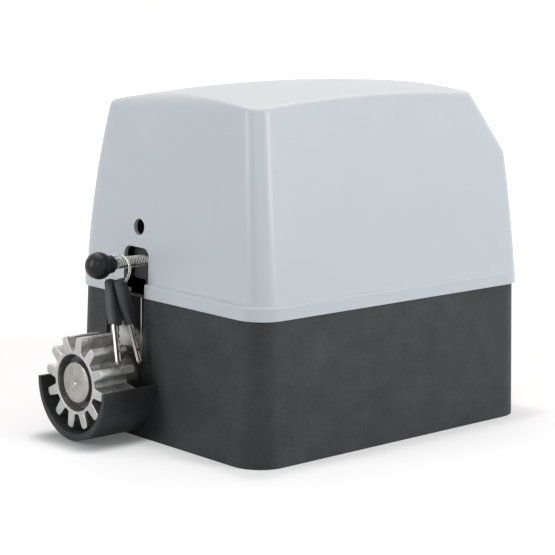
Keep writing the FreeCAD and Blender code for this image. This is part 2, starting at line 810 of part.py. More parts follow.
def make_shaft_seal():
    """The rubber seal, with a flange that covers the gearbox's face round the shaft."""
    body = ring_along_y(shaft_x, shaft_z, seal_r, shaft_r + running, plate_front, plate_front + seal_len)
    flange = ring_along_y(shaft_x, shaft_z, seal_flange_r, shaft_r + running,
                          plate_front - seal_flange_t, plate_front)
    return fuse_all([body, flange])


# ---------------------------------------------------------------- gearbox

def make_gearbox():
    floor = base_floor
    body = box(box_x0, box_x1, box_front, box_back, floor, box_top)
    corner = [e for e in body.Edges
              if e.BoundBox.YLength > 20 and e.BoundBox.XMax < box_x0 + 1 and e.BoundBox.ZMin > floor + 1]
    body = body.makeFillet(box_corner_r, corner)
    platform = rod_along_z(motor_x, wheel_y, platform_r, box_top - platform_thick, box_top)
    neck = Part.makeCone(platform_r - 20, platform_r, 20, V(motor_x, wheel_y, box_top - 28), Z_AXIS)
    neck = neck.common(box(box_x0, motor_x + platform_r, box_front, box_back, 0, box_top))
    plate = slot_tool(slot_half - slip, plate_front, plate_front + plate_thick, plate_top)
    uprights = [e for e in plate.Edges
                if e.BoundBox.ZLength > plate_top / 4 and e.BoundBox.YMax < plate_front + 0.1]
    plate = plate.makeChamfer(plate_bevel, uprights)
    body = fuse_all([body, platform, neck, plate])

    front_seat_y = front_bearing_y
    tools = [rod_along_y(shaft_x, shaft_z, seal_r + seat, plate_front - 1, front_seat_y + 0.01),
             rod_along_y(shaft_x, shaft_z, front_bearing_r + seat, front_seat_y,
                         gear_room_front + 1),
             rod_along_y(shaft_x, shaft_z, gear_room_r, gear_room_front, box_back + 1),
             rod_along_z(motor_x, wheel_y, worm_bearing_r + seat, worm_bearing_low, box_top + 1)]
    half = fork_arm_width / 2 + slip
    y0 = fork_y - fork_thick / 2 - clutch_travel - slip
    y1 = fork_y + fork_thick / 2 + slip
    tools.append(box(notch_x - half, notch_x + half, y0, y1, shaft_z, box_top + 1))
    wide = fork_width / 2 + slip
    tools.append(box(shaft_x - wide, shaft_x + wide, y0, y1, fork_low - 1, shaft_z + 23.5))
    for x in box_screw_xs:
        for y in box_screw_ys:
            tools.append(rod_along_z(x, y, box_screw_r + running, 0, screw_head_h + box_screw_len))
    for x, z in lid_screw_places():
        tools.append(rod_along_y(x, z, lid_screw_r + running, box_back - 9, box_back + 1))
    for x, y in motor_bolt_places():
        tools.append(rod_along_z(x, y, motor_bolt_r + running, box_top - motor_bolt_sunk - 0.5, box_top + 1))
    for x, y in guide_screw_places():
        tools.append(rod_along_z(x, y, guide_screw_r + running, box_top - 7, box_top + 1))
    return body.cut(tools)


def lid_screw_places():
    """Screws round the gear chamber's lid, as (x, z)."""
    low_left = turned(-128, gear_room_r + 6.0, 0)
    high_left = turned(-39.5, gear_room_r + 2.5, 0)
    right = box_x1 - 5.0
    return [(low_left.x, low_left.z), (high_left.x, high_left.z), (right, 24.0), (right, 46.0)]


def make_lid():
    y1 = box_back + lid_thick
    low = box(box_x0, box_x1, box_back, y1, base_floor + 1, box_top - platform_thick - 1)
    high = box(box_x0, motor_x - platform_r - 2, box_back, y1, box_top - 20, box_top)
    lid = fuse_all([low, high])
    corner = [e for e in lid.Edges
              if e.BoundBox.YLength > 1 and e.BoundBox.XMax < box_x0 + 1 and e.BoundBox.ZMin > box_top - 1]
    lid = lid.makeFillet(box_corner_r, corner)
    boss = rod_along_y(shaft_x, shaft_z, rear_bearing_r - 1, box_back + lid_thick - 1, box_back + lid_thick + 3)
    lid = fuse_all([lid, boss])
    tools = [rod_along_y(x, z, lid_screw_r + running, box_back - 1, box_back + 20) for x, z in lid_screw_places()]
    return lid.cut([rod_along_y(shaft_x, shaft_z, shaft_r + free, box_back - 1, shaft_back + slip)] + tools)


# ---------------------------------------------------------------- motor

def motor_bolt_places():
    places = []
    for n in range(4):
        a = math.radians(45 + 90 * n)
        places.append((motor_x + bolt_circle_r * math.cos(a), wheel_y + bolt_circle_r * math.sin(a)))
    return places


def make_bell(upper):
    """One end bell of the motor: a cup that carries the shaft, open towards the stator."""
    z0 = box_top if not upper else box_top + bell_height + stator_length
    z1 = z0 + bell_height
    body = rod_along_z(motor_x, wheel_y, motor_r, z0, z1)
    closed = z1 if upper else z0
    rim = [e for e in body.Edges
           if e.Curve.TypeId == "Part::GeomCircle" and abs(e.BoundBox.ZMin - closed) < 0.1]
    if upper:
        body = body.makeChamfer(2.5, rim)
    hollow_z0 = z0 - 1 if upper else z0 + bell_wall
    hollow_z1 = z1 - bell_wall if upper else z1 + 1
    hollow = rod_along_z(motor_x, wheel_y, winding_outer_r + 1, hollow_z0, hollow_z1)
    posts = []
    for x, y in motor_bolt_places():
        posts.append(rod_along_z(x, y, motor_bolt_r + 1.5, z0, z1))
    hollow = hollow.cut(posts)
    tools = [hollow, rod_along_z(motor_x, wheel_y, motor_shaft_r + free, z0 - 1, z1 + 1)]
    for x, y in motor_bolt_places():
        tools.append(rod_along_z(x, y, motor_bolt_r + running, z0 - 1, z1 + 1))
    return body.cut(tools)


def make_stator():
    z0 = box_top + bell_height
    body = ring_along_z(motor_x, wheel_y, motor_r, stator_bore_r, z0, z0 + stator_length)
    bolts = [rod_along_z(x, y, motor_bolt_r + running, z0 - 1, z0 + stator_length + 1)
             for x, y in motor_bolt_places()]
    return body.cut(bolts)


def make_windings():
    z0 = box_top + bell_height
    z1 = z0 + stator_length
    coils = []
    for low, high in ((z0 - winding_height, z0), (z1, z1 + winding_height)):
        coil = ring_along_z(motor_x, wheel_y, winding_outer_r - 2, winding_inner_r, low, high)
        edges = [e for e in coil.Edges if e.Curve.TypeId == "Part::GeomCircle"]
        coils.append(coil.makeChamfer(2.0, edges))
    return Part.makeCompound(coils)


def make_rotor():
    z0 = box_top + bell_height + 1
    z1 = z0 + stator_length - 2
    return ring_along_z(motor_x, wheel_y, stator_bore_r - rotor_gap, motor_shaft_r, z0, z1)


def make_motor_bolts():
    top = box_top + 2 * bell_height + stator_length
    bolts = []
    for x, y in motor_bolt_places():
        shank = rod_along_z(x, y, motor_bolt_r, box_top - motor_bolt_sunk, top)
        bolts.append(fuse_all([shank, hex_head(x, y, top, top + 2.6, 3.2)]))
    return Part.makeCompound(bolts)


# ---------------------------------------------------------------- release

def make_guide():
    """The dark block behind the notch: it guides the rod and holds the lock."""
    half = guide_width / 2
    back = guide_front + guide_depth
    face = box(notch_x - half, notch_x + half, guide_front, back, guide_low, guide_top)
    edges = [e for e in face.Edges if e.BoundBox.YLength > 5]
    face = face.makeFillet(2.5, edges)
    leg = box(notch_x - guide_leg_width / 2, notch_x + guide_leg_width / 2,
              back - 5, back, box_top, guide_low + 3)
    foot = box(notch_x - half, notch_x + half, plate_front + plate_thick + slip, back,
               box_top, box_top + guide_foot_height)
    gusset = box(notch_x - 1.5, notch_x + 1.5, guide_front + 2, back - 4, box_top, guide_low + 3)
    body = fuse_all([face, leg, foot, gusset])
    bore = rod_along_y(notch_x, rod_z, rod_r + running, guide_front - 1, back + 1)
    lock = rod_along_y(key_hole_x, key_hole_z, lock_body_r + running, guide_front - 3, back + 1)
    screws = [rod_along_z(x, y, guide_screw_r + running, box_top - 1, box_top + 10)
              for x, y in guide_screw_places()]
    return body.cut([bore, lock] + screws)


def guide_screw_places():
    y = guide_front + guide_depth / 2
    return [(notch_x + sx * (guide_width / 2 - 3), y) for sx in (-1, 1)]


def make_guide_screws():
    screws = []
    for x, y in guide_screw_places():
        shank = rod_along_z(x, y, guide_screw_r, box_top - 6, box_top + guide_foot_height)
        head = rod_along_z(x, y, 2.8, box_top + guide_foot_height, box_top + guide_foot_height + 2)
        screws.append(fuse_all([shank, head]))
    return Part.makeCompound(screws)


def make_rod():
    rod = rod_along_y(notch_x, rod_z, rod_r, rod_front, rod_back)
    ends = [e for e in rod.Edges if e.Curve.TypeId == "Part::GeomCircle"]
    return rod.makeChamfer(0.5, ends)


def make_knob():
    """The ball with its tapered collar, screwed on the rod."""
    ball = Part.makeSphere(knob_r, V(notch_x, knob_y, rod_z))
    collar = Part.makeCone(collar_r, collar_r - collar_taper, collar_length / 2,
                           V(notch_x, collar_back - collar_length / 2, rod_z), Y_AXIS)
    neck = rod_along_y(notch_x, rod_z, collar_r, knob_y, collar_back - collar_length / 2)
    body = fuse_all([ball, neck, collar])
    return body.cut(rod_along_y(notch_x, rod_z, rod_r, rod_front, collar_back + 1))


def make_fork():
    """The fork that the rod pulls: a boss, an arm and two prongs in the sleeve's groove."""
    y0 = fork_y - fork_thick / 2
    y1 = fork_y + fork_thick / 2
    boss = rod_along_y(notch_x, rod_z, fork_boss_r, y0, y1)
    half = fork_arm_width / 2
    arm = box(notch_x - half, notch_x + half, y0, y1, shaft_z + 12, rod_z)
    wide = fork_width / 2
    body = box(shaft_x - wide, shaft_x + wide, y0, y1, fork_low, shaft_z + 22.5)
    fork = fuse_all([boss, arm, body])
    throat = rod_along_y(shaft_x, shaft_z, groove_r + slip, y0 - 1, y1 + 1)
    mouth = box(shaft_x - groove_r - slip, shaft_x + groove_r + slip, y0 - 1, y1 + 1,
                fork_low - 1, shaft_z)
    return fork.cut([throat, mouth, rod_along_y(notch_x, rod_z, rod_r, y0 - 1, y1 + 1)])


def make_lock_body():
    barrel = rod_along_y(key_hole_x, key_hole_z, lock_body_r, lock_front, lock_back)
    return barrel.cut(rod_along_y(key_hole_x, key_hole_z, lock_plug_r + running, lock_front - 1, lock_back + 1))


def make_lock_plug():
    plug = rod_along_y(key_hole_x, key_hole_z, lock_plug_r, lock_front, lock_back + slip)
    keyway = box(key_hole_x - keyway_width / 2, key_hole_x + keyway_width / 2, lock_front - 1,
                 lock_front + keyway_depth,
                 key_hole_z - keyway_height / 2, key_hole_z + keyway_height / 2)
    return plug.cut(keyway)


def make_lock_cam():
    """The tongue on the back of the plug; at rest it points up, away from the rod."""
    y0 = lock_back + slip
    y1 = y0 + lock_cam_thick
    disc = rod_along_y(key_hole_x, key_hole_z, lock_plug_r + 1.5, y0, y1)
    tongue = box(key_hole_x - 3, key_hole_x + 3, y0, y1, key_hole_z, key_hole_z + lock_cam_length)
    return fuse_all([disc, tongue])


# ---------------------------------------------------------------- key ring and keys

def ring_frame():
    """Centre of the key ring and its two directions: sideways and upwards in its plane."""
    lean = math.radians(ring_lean)
    turn = math.radians(ring_turn)
    side = V(math.cos(turn), math.sin(turn), 0)
    up = Z_AXIS * math.cos(lean) - side.cross(Z_AXIS) * math.sin(lean)
    rest = ring_inner_r * math.cos(lean) - ring_loops_width / 2 * math.sin(lean)
    centre = V(notch_x, ring_y - ring_inner_r * math.sin(lean), rod_z + rod_r + slip / 2 - rest)
    return centre, side, up


def key_place(n):
    """Where the ring passes through a key, and the ring's direction there."""
    centre, side, up = ring_frame()
    a = math.radians(key_places[n])
    r = ring_inner_r + ring_wire / 2
    place = centre + side * (r * math.sin(a)) - up * (r * math.cos(a))
    tangent = side * math.cos(a) + up * math.sin(a)
    return place, tangent


def make_key_ring():
    """A split ring: two loops side by side, shown as one flat band."""
    centre, side, up = ring_frame()
    normal = side.cross(up)
    half = ring_loops_width / 2
    outer = Part.makeCylinder(ring_inner_r + ring_wire, ring_loops_width, centre - normal * half, normal)
    inner = Part.makeCylinder(ring_inner_r, ring_loops_width + 2, centre - normal * (half + 1), normal)
    return outer.cut(inner)


def key_placement(n):
    """Turns a key drawn hanging straight down into its place on the ring."""
    place, tangent = key_place(n)
    down = (key_tips[n] - place).normalize()
    flat = tangent - down * tangent.dot(down)
    flat.normalize()
    across = (down * -1).cross(flat)
    m = FreeCAD.Matrix(flat.x, across.x, -down.x, place.x,
                       flat.y, across.y, -down.y, place.y,
                       flat.z, across.z, -down.z, place.z,
                       0, 0, 0, 1)
    return m


def make_key_head(n):
    """The moulded grip: thickness along X, width along Y, hanging down from the hole."""
    top = key_hole_offset
    low = top - key_head_length
    half_t = key_head_thick / 2
    widest = low + key_head_length / 3
    sides = [(key_head_top / 2, top), (key_head_width / 2, widest), (key_head_foot / 2, low)]
    points = [V(-half_t, y, z) for y, z in sides] + [V(-half_t, -y, z) for y, z in reversed(sides)]
    body = Part.Face(Part.makePolygon(points + points[:1])).extrude(V(key_head_thick, 0, 0))
    body = body.makeFillet(half_t * 0.8, [e for e in body.Edges if e.BoundBox.ZLength > 5])
    ends = [e for e in body.Edges if e.BoundBox.ZLength < 0.01 and e.BoundBox.ZMin > top - 0.1]
    body = body.makeFillet(1.2, ends)
    tilt = hole_axis(n)
    eye = Part.makeCylinder(key_eye_r, 2 * key_head_width, tilt * -key_head_width, tilt)
    tang = box(-blade_thick / 2, blade_thick / 2, -blade_width / 2, blade_width / 2, low - 1, low + blade_sunk)
    head = body.cut([eye, tang])
    return placed(head, n)


def hole_axis(n):
    """The eye's direction in the key's own frame: along the ring where it passes through."""
    place, tangent = key_place(n)
    down = (key_tips[n] - place).normalize()
    flat = tangent - down * tangent.dot(down)
    lift = -tangent.dot(down)
    return V(flat.Length, 0, lift)


def placed(shape, n):
    """A copy of a shape, moved to a key's place."""
    out = shape.copy()
    out.Placement = FreeCAD.Placement(key_placement(n))
    return out


def make_key_blade(n):
    """The steel blade with its cuts."""
    low = key_hole_offset - key_head_length
    length = (key_tips[n] - key_place(n)[0]).Length
    half_t = blade_thick / 2
    half_w = blade_width / 2
    points = [V(-half_t, -half_w, low + blade_sunk), V(-half_t, half_w, low + blade_sunk)]
    cut_depths = (1.0, 2.1, 1.4, 2.4, 1.2)
    step = (low + length - 4.0 - 3.0) / len(cut_depths)
    z = low - 4.0
    for depth in cut_depths:
        points.append(V(-half_t, half_w, z))
        points.append(V(-half_t, half_w - depth, z - step * 0.35))
        points.append(V(-half_t, half_w - depth, z - step * 0.6))
        z -= step
    points.append(V(-half_t, half_w, z))
    points.append(V(-half_t, half_w - 2.0, -length))
    points.append(V(-half_t, -half_w + 1.0, -length))
    points.append(V(-half_t, -half_w, -length + 1.5))
    blade = Part.Face(Part.makePolygon(points + points[:1])).extrude(V(blade_thick, 0, 0))
    groove = box(half_t - 0.5, half_t + 1, -0.7, 0.5, -length + 2, low - 1)
    return placed(blade.cut(groove), n)


# ---------------------------------------------------------------- electronics and the rest

def make_bracket():
    """A bent steel sheet that carries the circuit board."""
    y1 = bracket_y
    y0 = y1 - bracket_thick
    sheet = box(-bracket_half, bracket_half, y0, y1, base_floor, bracket_top)
    corners = [e for e in sheet.Edges if e.BoundBox.YLength > 1 and e.BoundBox.ZMin > bracket_top - 1]
    sheet = sheet.makeFillet(6, corners)
    foot = box(-bracket_half, bracket_half, y0, y1 + bracket_foot, base_floor, base_floor + bracket_thick)
    sheet = fuse_all([sheet, foot])
    tools = [rod_along_y(x, z, board_screw_r + running, y0 - 1, y1 + 1) for x, z in board_hole_places()]
    tools += [rod_along_z(x, y, 2.0 + running, 0, 10) for x, y in foot_screw_places()]
    half = bracket_window / 2
    tools.append(box(-half, half, y0 - 1, y1 + 1, bracket_window_low, bracket_window_top))
    return sheet.cut(tools)


def board_hole_places():
    x = board_half - board_hole_inset
    return [(-x, board_low + board_hole_inset), (x, board_low + board_hole_inset),
            (x, board_high - board_hole_inset), (-x, board_high - board_hole_inset)]


def foot_screw_places():
    x = bracket_half - 12
    y = bracket_y + bracket_foot / 2
    return [(-x, y), (0, y), (x, y)]


board_back = bracket_y + board_gap
board_front = board_back + board_thick


def make_board():
    board = box(-board_half, board_half, board_back, board_front, board_low, board_high)
    holes = [rod_along_y(x, z, board_screw_r + running, board_back - 1, board_front + 1)
             for x, z in board_hole_places()]
    return board.cut(holes)


def make_standoffs():
    return Part.makeCompound([ring_along_y(x, z, standoff_r, board_screw_r + running, bracket_y, board_back)
                              for x, z in board_hole_places()])


def make_board_screws():
    screws = []
    for x, z in board_hole_places():
        shank = rod_along_y(x, z, board_screw_r, bracket_y - bracket_thick, board_front)
        head = rod_along_y(x, z, board_screw_r * 1.9, board_front, board_front + 2)
        screws.append(fuse_all([shank, head]))
    return Part.makeCompound(screws)


def make_relays():
    width, depth, height = relay_size
    return Part.makeCompound([box(x - width / 2, x + width / 2, board_front, board_front + depth,
                                  relay_z, relay_z + height) for x in relay_xs])


def make_terminals():
    """The terminal block: a stepped strip with a wire entry and a screw at every way."""
    length = terminal_width * terminal_count
    x0 = -length / 2
    y1 = board_front + terminal_depth
    strip = box(x0, x0 + length, board_front, y1, terminal_z, terminal_z + terminal_height)
    step = box(x0 - 1, x0 + length + 1, y1 - 3, y1 + 1, terminal_z + 7.5, terminal_z + terminal_height + 1)
    tools = [step]
    for n in range(terminal_count):
        x = x0 + terminal_width * (n + 0.5)
        tools.append(box(x - 1.6, x + 1.6, board_front + 2.0, y1 - 3.5, terminal_z - 1, terminal_z + 4))
    return strip.cut(tools)


def make_transformer():
    """A board transformer: a laminated core round a moulded coil."""
    width, depth, height = transformer_size
    x0 = transformer_x - width / 2
    core = box(x0, x0 + width, board_front + 9, board_front + 9 + 15, transformer_z, transformer_z + height)
    window = box(x0 + 8, x0 + width - 8, board_front, board_front + 40, transformer_z + 7,
                 transformer_z + height - 7)
    core = core.cut(window)
    coil = box(x0 + 8, x0 + width - 8, board_front, board_front + depth,
               transformer_z + 7, transformer_z + height - 7)
    coil = coil.makeFillet(2, [e for e in coil.Edges if e.BoundBox.ZLength > 10 and e.BoundBox.YMin > board_front + 5])
    return core, coil


def make_smoothing_caps():
    cans = []
    for x in smoothing_cap_xs:
        can = Part.makeCylinder(smoothing_cap_r - slip, smoothing_cap_len, V(x, board_front, smoothing_cap_z), Y_AXIS)
        cans.append(can)
    return Part.makeCompound(cans)


def make_fuse():
    half = fuse_length / 2
    y = board_front + 5
    glass = Part.makeCylinder(fuse_r, fuse_length, V(fuse_x - half, y, fuse_z), X_AXIS)
    return glass


def make_fuse_clips():
    half = fuse_length / 2
    y = board_front + 5
    clips = []
    for x in (fuse_x - half, fuse_x + half - 5):
        clip = box(x, x + 5, board_front, y + 1.5, fuse_z - fuse_r - 0.8, fuse_z + fuse_r + 0.8)
        clips.append(clip.cut(Part.makeCylinder(fuse_r, fuse_length + 2, V(fuse_x - half - 1, y, fuse_z), X_AXIS)))
    return Part.makeCompound(clips)


def make_chip():
    width, depth, height = chip_size
    return box(chip_x - width / 2, chip_x + width / 2, board_front, board_front + depth,
               chip_z - height / 2, chip_z + height / 2)


def make_capacitor():
    z0 = base_floor
    can = rod_along_z(capacitor_x, capacitor_y, capacitor_r, z0, z0 + capacitor_height)
    rims = [e for e in can.Edges if e.Curve.TypeId == "Part::GeomCircle"]
    can = can.makeChamfer(1.2, rims)
    tabs = [box(capacitor_x + s * 5 - 0.4, capacitor_x + s * 5 + 0.4, capacitor_y - 3, capacitor_y + 3,
                z0 + capacitor_height - 1, z0 + capacitor_height + 8) for s in (-1, 1)]
    return fuse_all([can] + tabs)


def make_clip():
    """The steel band that holds the capacitor, with its foot on the base floor."""
    band = ring_along_z(capacitor_x, capacitor_y, capacitor_r + slip + clip_thick, capacitor_r + slip,
                        clip_z, clip_z + clip_height)
    x0 = capacitor_x - capacitor_r - slip - clip_thick
    post = box(x0 - 1.5, x0 + 0.6, capacitor_y - 6, capacitor_y + 6, base_floor, clip_z + clip_height)
    post = post.cut(rod_along_z(capacitor_x, capacitor_y, capacitor_r + slip, 0, clip_z + clip_height + 1))
    return fuse_all([band, post])


def make_grommet():
    """A rubber grommet in the floor, with a membrane to be cut for the cables."""
    sleeve = rod_along_z(cable_x, cable_y, cable_hole_r - seat, 0.6, base_floor)
    flange = rod_along_z(cable_x, cable_y, cable_hole_r + 3, base_floor, base_floor + 2)
    cone = Part.makeCone(cable_hole_r, 7.5, 8, V(cable_x, cable_y, base_floor + 2), Z_AXIS)
    body = fuse_all([sleeve, flange, cone])
    return body.cut(rod_along_z(cable_x, cable_y, 6.0, 0, 30))


def make_box_screws():
    """The screws that hold the gearbox to the base, from below."""
    screws = []
    for x in box_screw_xs:
        for y in box_screw_ys:
            head = rod_along_z(x, y, screw_head_r, slip, screw_head_h)
            shank = rod_along_z(x, y, box_screw_r, screw_head_h - 0.5, screw_head_h + box_screw_len - 1)
            socket = hex_head(x, y, 0, 2.2, 2.0)
            screws.append(fuse_all([head, shank]).cut(socket))
    return Part.makeCompound(screws)


def make_lid_screws():
    screws = []
    for x, z in lid_screw_places():
        head = rod_along_y(x, z, lid_screw_r * 1.8, box_back + lid_thick, box_back + lid_thick + 2.4)
        shank = rod_along_y(x, z, lid_screw_r, box_back - 8, box_back + lid_thick + 0.5)
        screws.append(fuse_all([head, shank]))
    return Part.makeCompound(screws)


def make_foot_screws():
    screws = []
    for x, y in foot_screw_places():
        z = base_floor + bracket_thick
        screws.append(fuse_all([rod_along_z(x, y, 2.0, 1.5, z), rod_along_z(x, y, 3.6, z, z + 2.4)]))
    return Part.makeCompound(screws)


# ---------------------------------------------------------------- write the sub-parts

base = make_base()
foot_holes = [rod_along_z(x, y, 2.0, 1.5, base_floor + 1) for x, y in foot_screw_places()]
save("base_housing", base.cut(foot_holes))
save("pinion_guard", make_guard())
save("cover_seal", seal_ring())
save("cover", make_cover())
save("gearbox_housing", make_gearbox())
save("gearbox_lid", make_lid())
save("gearbox_screws", make_box_screws())
save("gearbox_lid_screws", make_lid_screws())
save("shaft_seal", make_shaft_seal())
save("front_bearing", ring_along_y(shaft_x, shaft_z, front_bearing_r, shaft_r + running,
                                   front_bearing_y, front_bearing_y + front_bearing_len))
save("rear_bearing", ring_along_y(shaft_x, shaft_z, rear_bearing_r, shaft_r + running,
                                  rear_bearing_y, rear_bearing_y + rear_bearing_len))
save("output_shaft", make_shaft())
save("drive_pinion", make_pinion())
save("pinion_key", key_slot(0.0))
save("pinion_washer", make_washer())
save("pinion_circlip", make_circlip())
save("worm_wheel", make_wheel())
save("clutch_sleeve", make_sleeve())
save("worm_shaft", make_worm())
save("worm_lower_bearing", ring_along_z(motor_x, wheel_y, worm_bearing_r, motor_shaft_r + running,
                                        worm_bearing_low, worm_bearing_low + worm_bearing_len))
save("worm_upper_bearing", ring_along_z(motor_x, wheel_y, worm_bearing_r, motor_shaft_r + running,
                                        worm_bearing_high, worm_bearing_high + worm_bearing_len))
save("motor_rotor", make_rotor())
save("motor_lower_bell", make_bell(False))
save("motor_upper_bell", make_bell(True))
save("motor_stator", make_stator())
save("motor_windings", make_windings())
save("motor_bolts", make_motor_bolts())
save("run_capacitor", make_capacitor())
save("capacitor_clip", make_clip())
save("release_guide", make_guide())
save("release_guide_screws", make_guide_screws())
save("release_rod", make_rod())
save("release_knob", make_knob())
save("release_fork", make_fork())
save("lock_body", make_lock_body())
save("lock_plug", make_lock_plug())
save("lock_cam", make_lock_cam())
save("key_ring", make_key_ring())
save("front_key_head", make_key_head(0))
save("front_key_blade", make_key_blade(0))
save("rear_key_head", make_key_head(1))
save("rear_key_blade", make_key_blade(1))
save("board_bracket", make_bracket())
save("bracket_screws", make_foot_screws())
save("control_board", make_board())
save("board_standoffs", make_standoffs())
save("board_screws", make_board_screws())
save("relays", make_relays())
save("terminal_block", make_terminals())
transformer_core, transformer_coil = make_transformer()
save("transformer_core", transformer_core)
save("transformer_coil", transformer_coil)
save("smoothing_capacitors", make_smoothing_caps())
save("fuse", make_fuse())
save("fuse_clips", make_fuse_clips())
save("control_chip", make_chip())
save("cable_grommet", make_grommet())
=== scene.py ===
"""Sliding gate motor: a moulded base, a pale lift-off cover, a guarded pinion and a pull knob with keys.

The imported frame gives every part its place; the operators below dress it, piece by piece.
Metres in the scene; sizes in the code are written in millimetres and turned by mm().
"""

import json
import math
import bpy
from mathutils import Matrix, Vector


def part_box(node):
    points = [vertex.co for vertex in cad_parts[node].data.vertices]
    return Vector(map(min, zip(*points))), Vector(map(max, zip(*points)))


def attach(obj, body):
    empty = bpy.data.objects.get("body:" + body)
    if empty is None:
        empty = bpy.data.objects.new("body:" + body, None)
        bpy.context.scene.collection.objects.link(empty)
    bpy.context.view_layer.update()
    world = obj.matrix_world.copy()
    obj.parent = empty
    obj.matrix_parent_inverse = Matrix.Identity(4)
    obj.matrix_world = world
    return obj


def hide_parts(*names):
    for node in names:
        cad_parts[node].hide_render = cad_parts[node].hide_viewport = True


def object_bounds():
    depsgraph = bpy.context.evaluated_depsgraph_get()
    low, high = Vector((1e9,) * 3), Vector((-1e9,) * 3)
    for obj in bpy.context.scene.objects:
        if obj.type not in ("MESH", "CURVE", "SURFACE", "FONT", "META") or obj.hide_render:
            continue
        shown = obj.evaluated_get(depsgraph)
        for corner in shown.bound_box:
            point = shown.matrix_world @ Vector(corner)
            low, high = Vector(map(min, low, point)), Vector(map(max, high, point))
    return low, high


bl_info = {
    "name": "Sliding Gate Motor",
    "version": (1, 0, 0),
    "blender": (4, 5, 0),
    "location": "3D View > Sidebar > Gate Motor",
    "description": "Dresses the frame of a sliding gate motor with its pieces and finishes",
    "category": "Object",
}

import bmesh
import bpy
from mathutils import Matrix, Vector

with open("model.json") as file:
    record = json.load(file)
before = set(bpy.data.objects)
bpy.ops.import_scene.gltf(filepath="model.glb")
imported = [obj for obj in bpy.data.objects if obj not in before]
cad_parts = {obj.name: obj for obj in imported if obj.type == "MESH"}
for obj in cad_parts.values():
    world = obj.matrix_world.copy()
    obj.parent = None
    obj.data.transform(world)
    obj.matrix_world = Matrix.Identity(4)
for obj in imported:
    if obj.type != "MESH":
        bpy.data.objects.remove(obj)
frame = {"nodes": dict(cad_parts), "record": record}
CAD_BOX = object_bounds()


def mm(value):
    """Millimetres as metres."""
    return value / 1000.0


# ---------------------------------------------------------------- settings

class GateMotorSizes(bpy.types.PropertyGroup):
    """Sizes of the pieces that the operators model."""

    thread_pitch: bpy.props.FloatProperty(
        name="Thread pitch", description="Pitch of the release rod's thread",
        default=mm(1.25), min=mm(0.8), unit="LENGTH", subtype="DISTANCE")
    thread_depth: bpy.props.FloatProperty(
        name="Thread depth", description="Depth of the release rod's thread",
        default=mm(0.42), min=mm(0.2), unit="LENGTH", subtype="DISTANCE")
    bead_radius: bpy.props.FloatProperty(
        name="Knob bead", description="Radius of the knob's bead to the middle of its roll",
        default=mm(3.7), min=mm(2.0), unit="LENGTH", subtype="DISTANCE")
    bead_wire: bpy.props.FloatProperty(
        name="Knob bead roll", description="Radius of the roll of the knob's bead",
        default=mm(1.8), min=mm(0.5), unit="LENGTH", subtype="DISTANCE")
    ring_radius: bpy.props.FloatProperty(
        name="Key ring", description="Radius of the key ring to the middle of its wire",
        default=mm(9.45), min=mm(5.0), unit="LENGTH", subtype="DISTANCE")
    ring_wire: bpy.props.FloatProperty(
        name="Key ring wire", description="Radius of the key ring's wire",
        default=mm(0.36), min=mm(0.3), unit="LENGTH", subtype="DISTANCE")
    ring_pitch: bpy.props.FloatProperty(
        name="Key ring turns", description="Space from one turn of the ring's wire to the next",
        default=mm(1.5), min=mm(0.6), unit="LENGTH", subtype="DISTANCE")
    ring_lean: bpy.props.FloatProperty(
        name="Key ring lean", description="How far the ring's lower end hangs out",
        default=math.radians(20), unit="ROTATION", subtype="ANGLE")
    ring_turn: bpy.props.FloatProperty(
        name="Key ring turn", description="How far the ring is turned round the upright",
        default=math.radians(12), unit="ROTATION", subtype="ANGLE")
    cast_rounding: bpy.props.FloatProperty(
        name="Cast edges", description="Rounding on the edges of cast pieces",
        default=mm(0.5), min=0.0, unit="LENGTH", subtype="DISTANCE")
    metal_rounding: bpy.props.FloatProperty(
        name="Machined edges", description="Rounding on the edges of machined pieces",
        default=mm(0.2), min=0.0, unit="LENGTH", subtype="DISTANCE")


class GateMotorColours(bpy.types.PropertyGroup):
    """Colours of the finishes, as sRGB hex values."""

    cover: bpy.props.StringProperty(
        name="Cover", description="Pale grey of the cover", default="#C6CED4")
    base: bpy.props.StringProperty(
        name="Base", description="Dark grey of the base", default="#242627")
    knob: bpy.props.StringProperty(
        name="Knob", description="Black of the release knob", default="#16171A")
    key_grip: bpy.props.StringProperty(
        name="Key grips", description="Dark grey of the keys' grips", default="#38393B")
    cast: bpy.props.StringProperty(
        name="Cast alloy", description="Grey of the die-cast gearbox", default="#B4B4B0")
    pinion: bpy.props.StringProperty(
        name="Pinion", description="Grey of the cast pinion", default="#D2D2D0")


# ---------------------------------------------------------------- materials

# a noise lies mostly between these values, so its tones and roughness run from one to the other
NOISE_LOW = 0.3
NOISE_HIGH = 0.7

# at a scale of 1 the bands of a wave pattern lie about this far apart, in metres
WAVE_SPACING = 0.32

# finishes that several pieces share, each as its two tones
ZINC_TONES = ("#B9B6AC", "#96948C")
BRASS_TONES = ("#C4A254", "#AC8C46")
SPANGLE_TONES = ("#B0B3B5", "#BABDBE")
CAST_LIGHT = "#C9C9C5"


def from_hex(text):
    """An sRGB hex colour as linear red, green, blue and alpha."""
    values = []
    for n in (1, 3, 5):
        v = int(text[n:n + 2], 16) / 255.0
        values.append(v / 12.92 if v <= 0.04045 else ((v + 0.055) / 1.055) ** 2.4)
    return values + [1.0]


def scale_of(size_mm):
    """The scale at which a noise or a cell pattern has features of this size."""
    return 1.0 / mm(size_mm)


def wave_scale(spacing_mm):
    """The scale at which the bands of a wave pattern lie this far apart."""
    return WAVE_SPACING / mm(spacing_mm)


def add(tree, kind, settings=None, links=None):
    """Adds a node, sets its values and joins its inputs."""
    node = tree.nodes.new(kind)
    for key, value in (settings or {}).items():
        if isinstance(key, int) or key in node.inputs:
            node.inputs[key].default_value = value
        else:
            setattr(node, key, value)
    for key, socket in (links or {}).items():
        tree.links.new(socket, node.inputs[key])
    return node


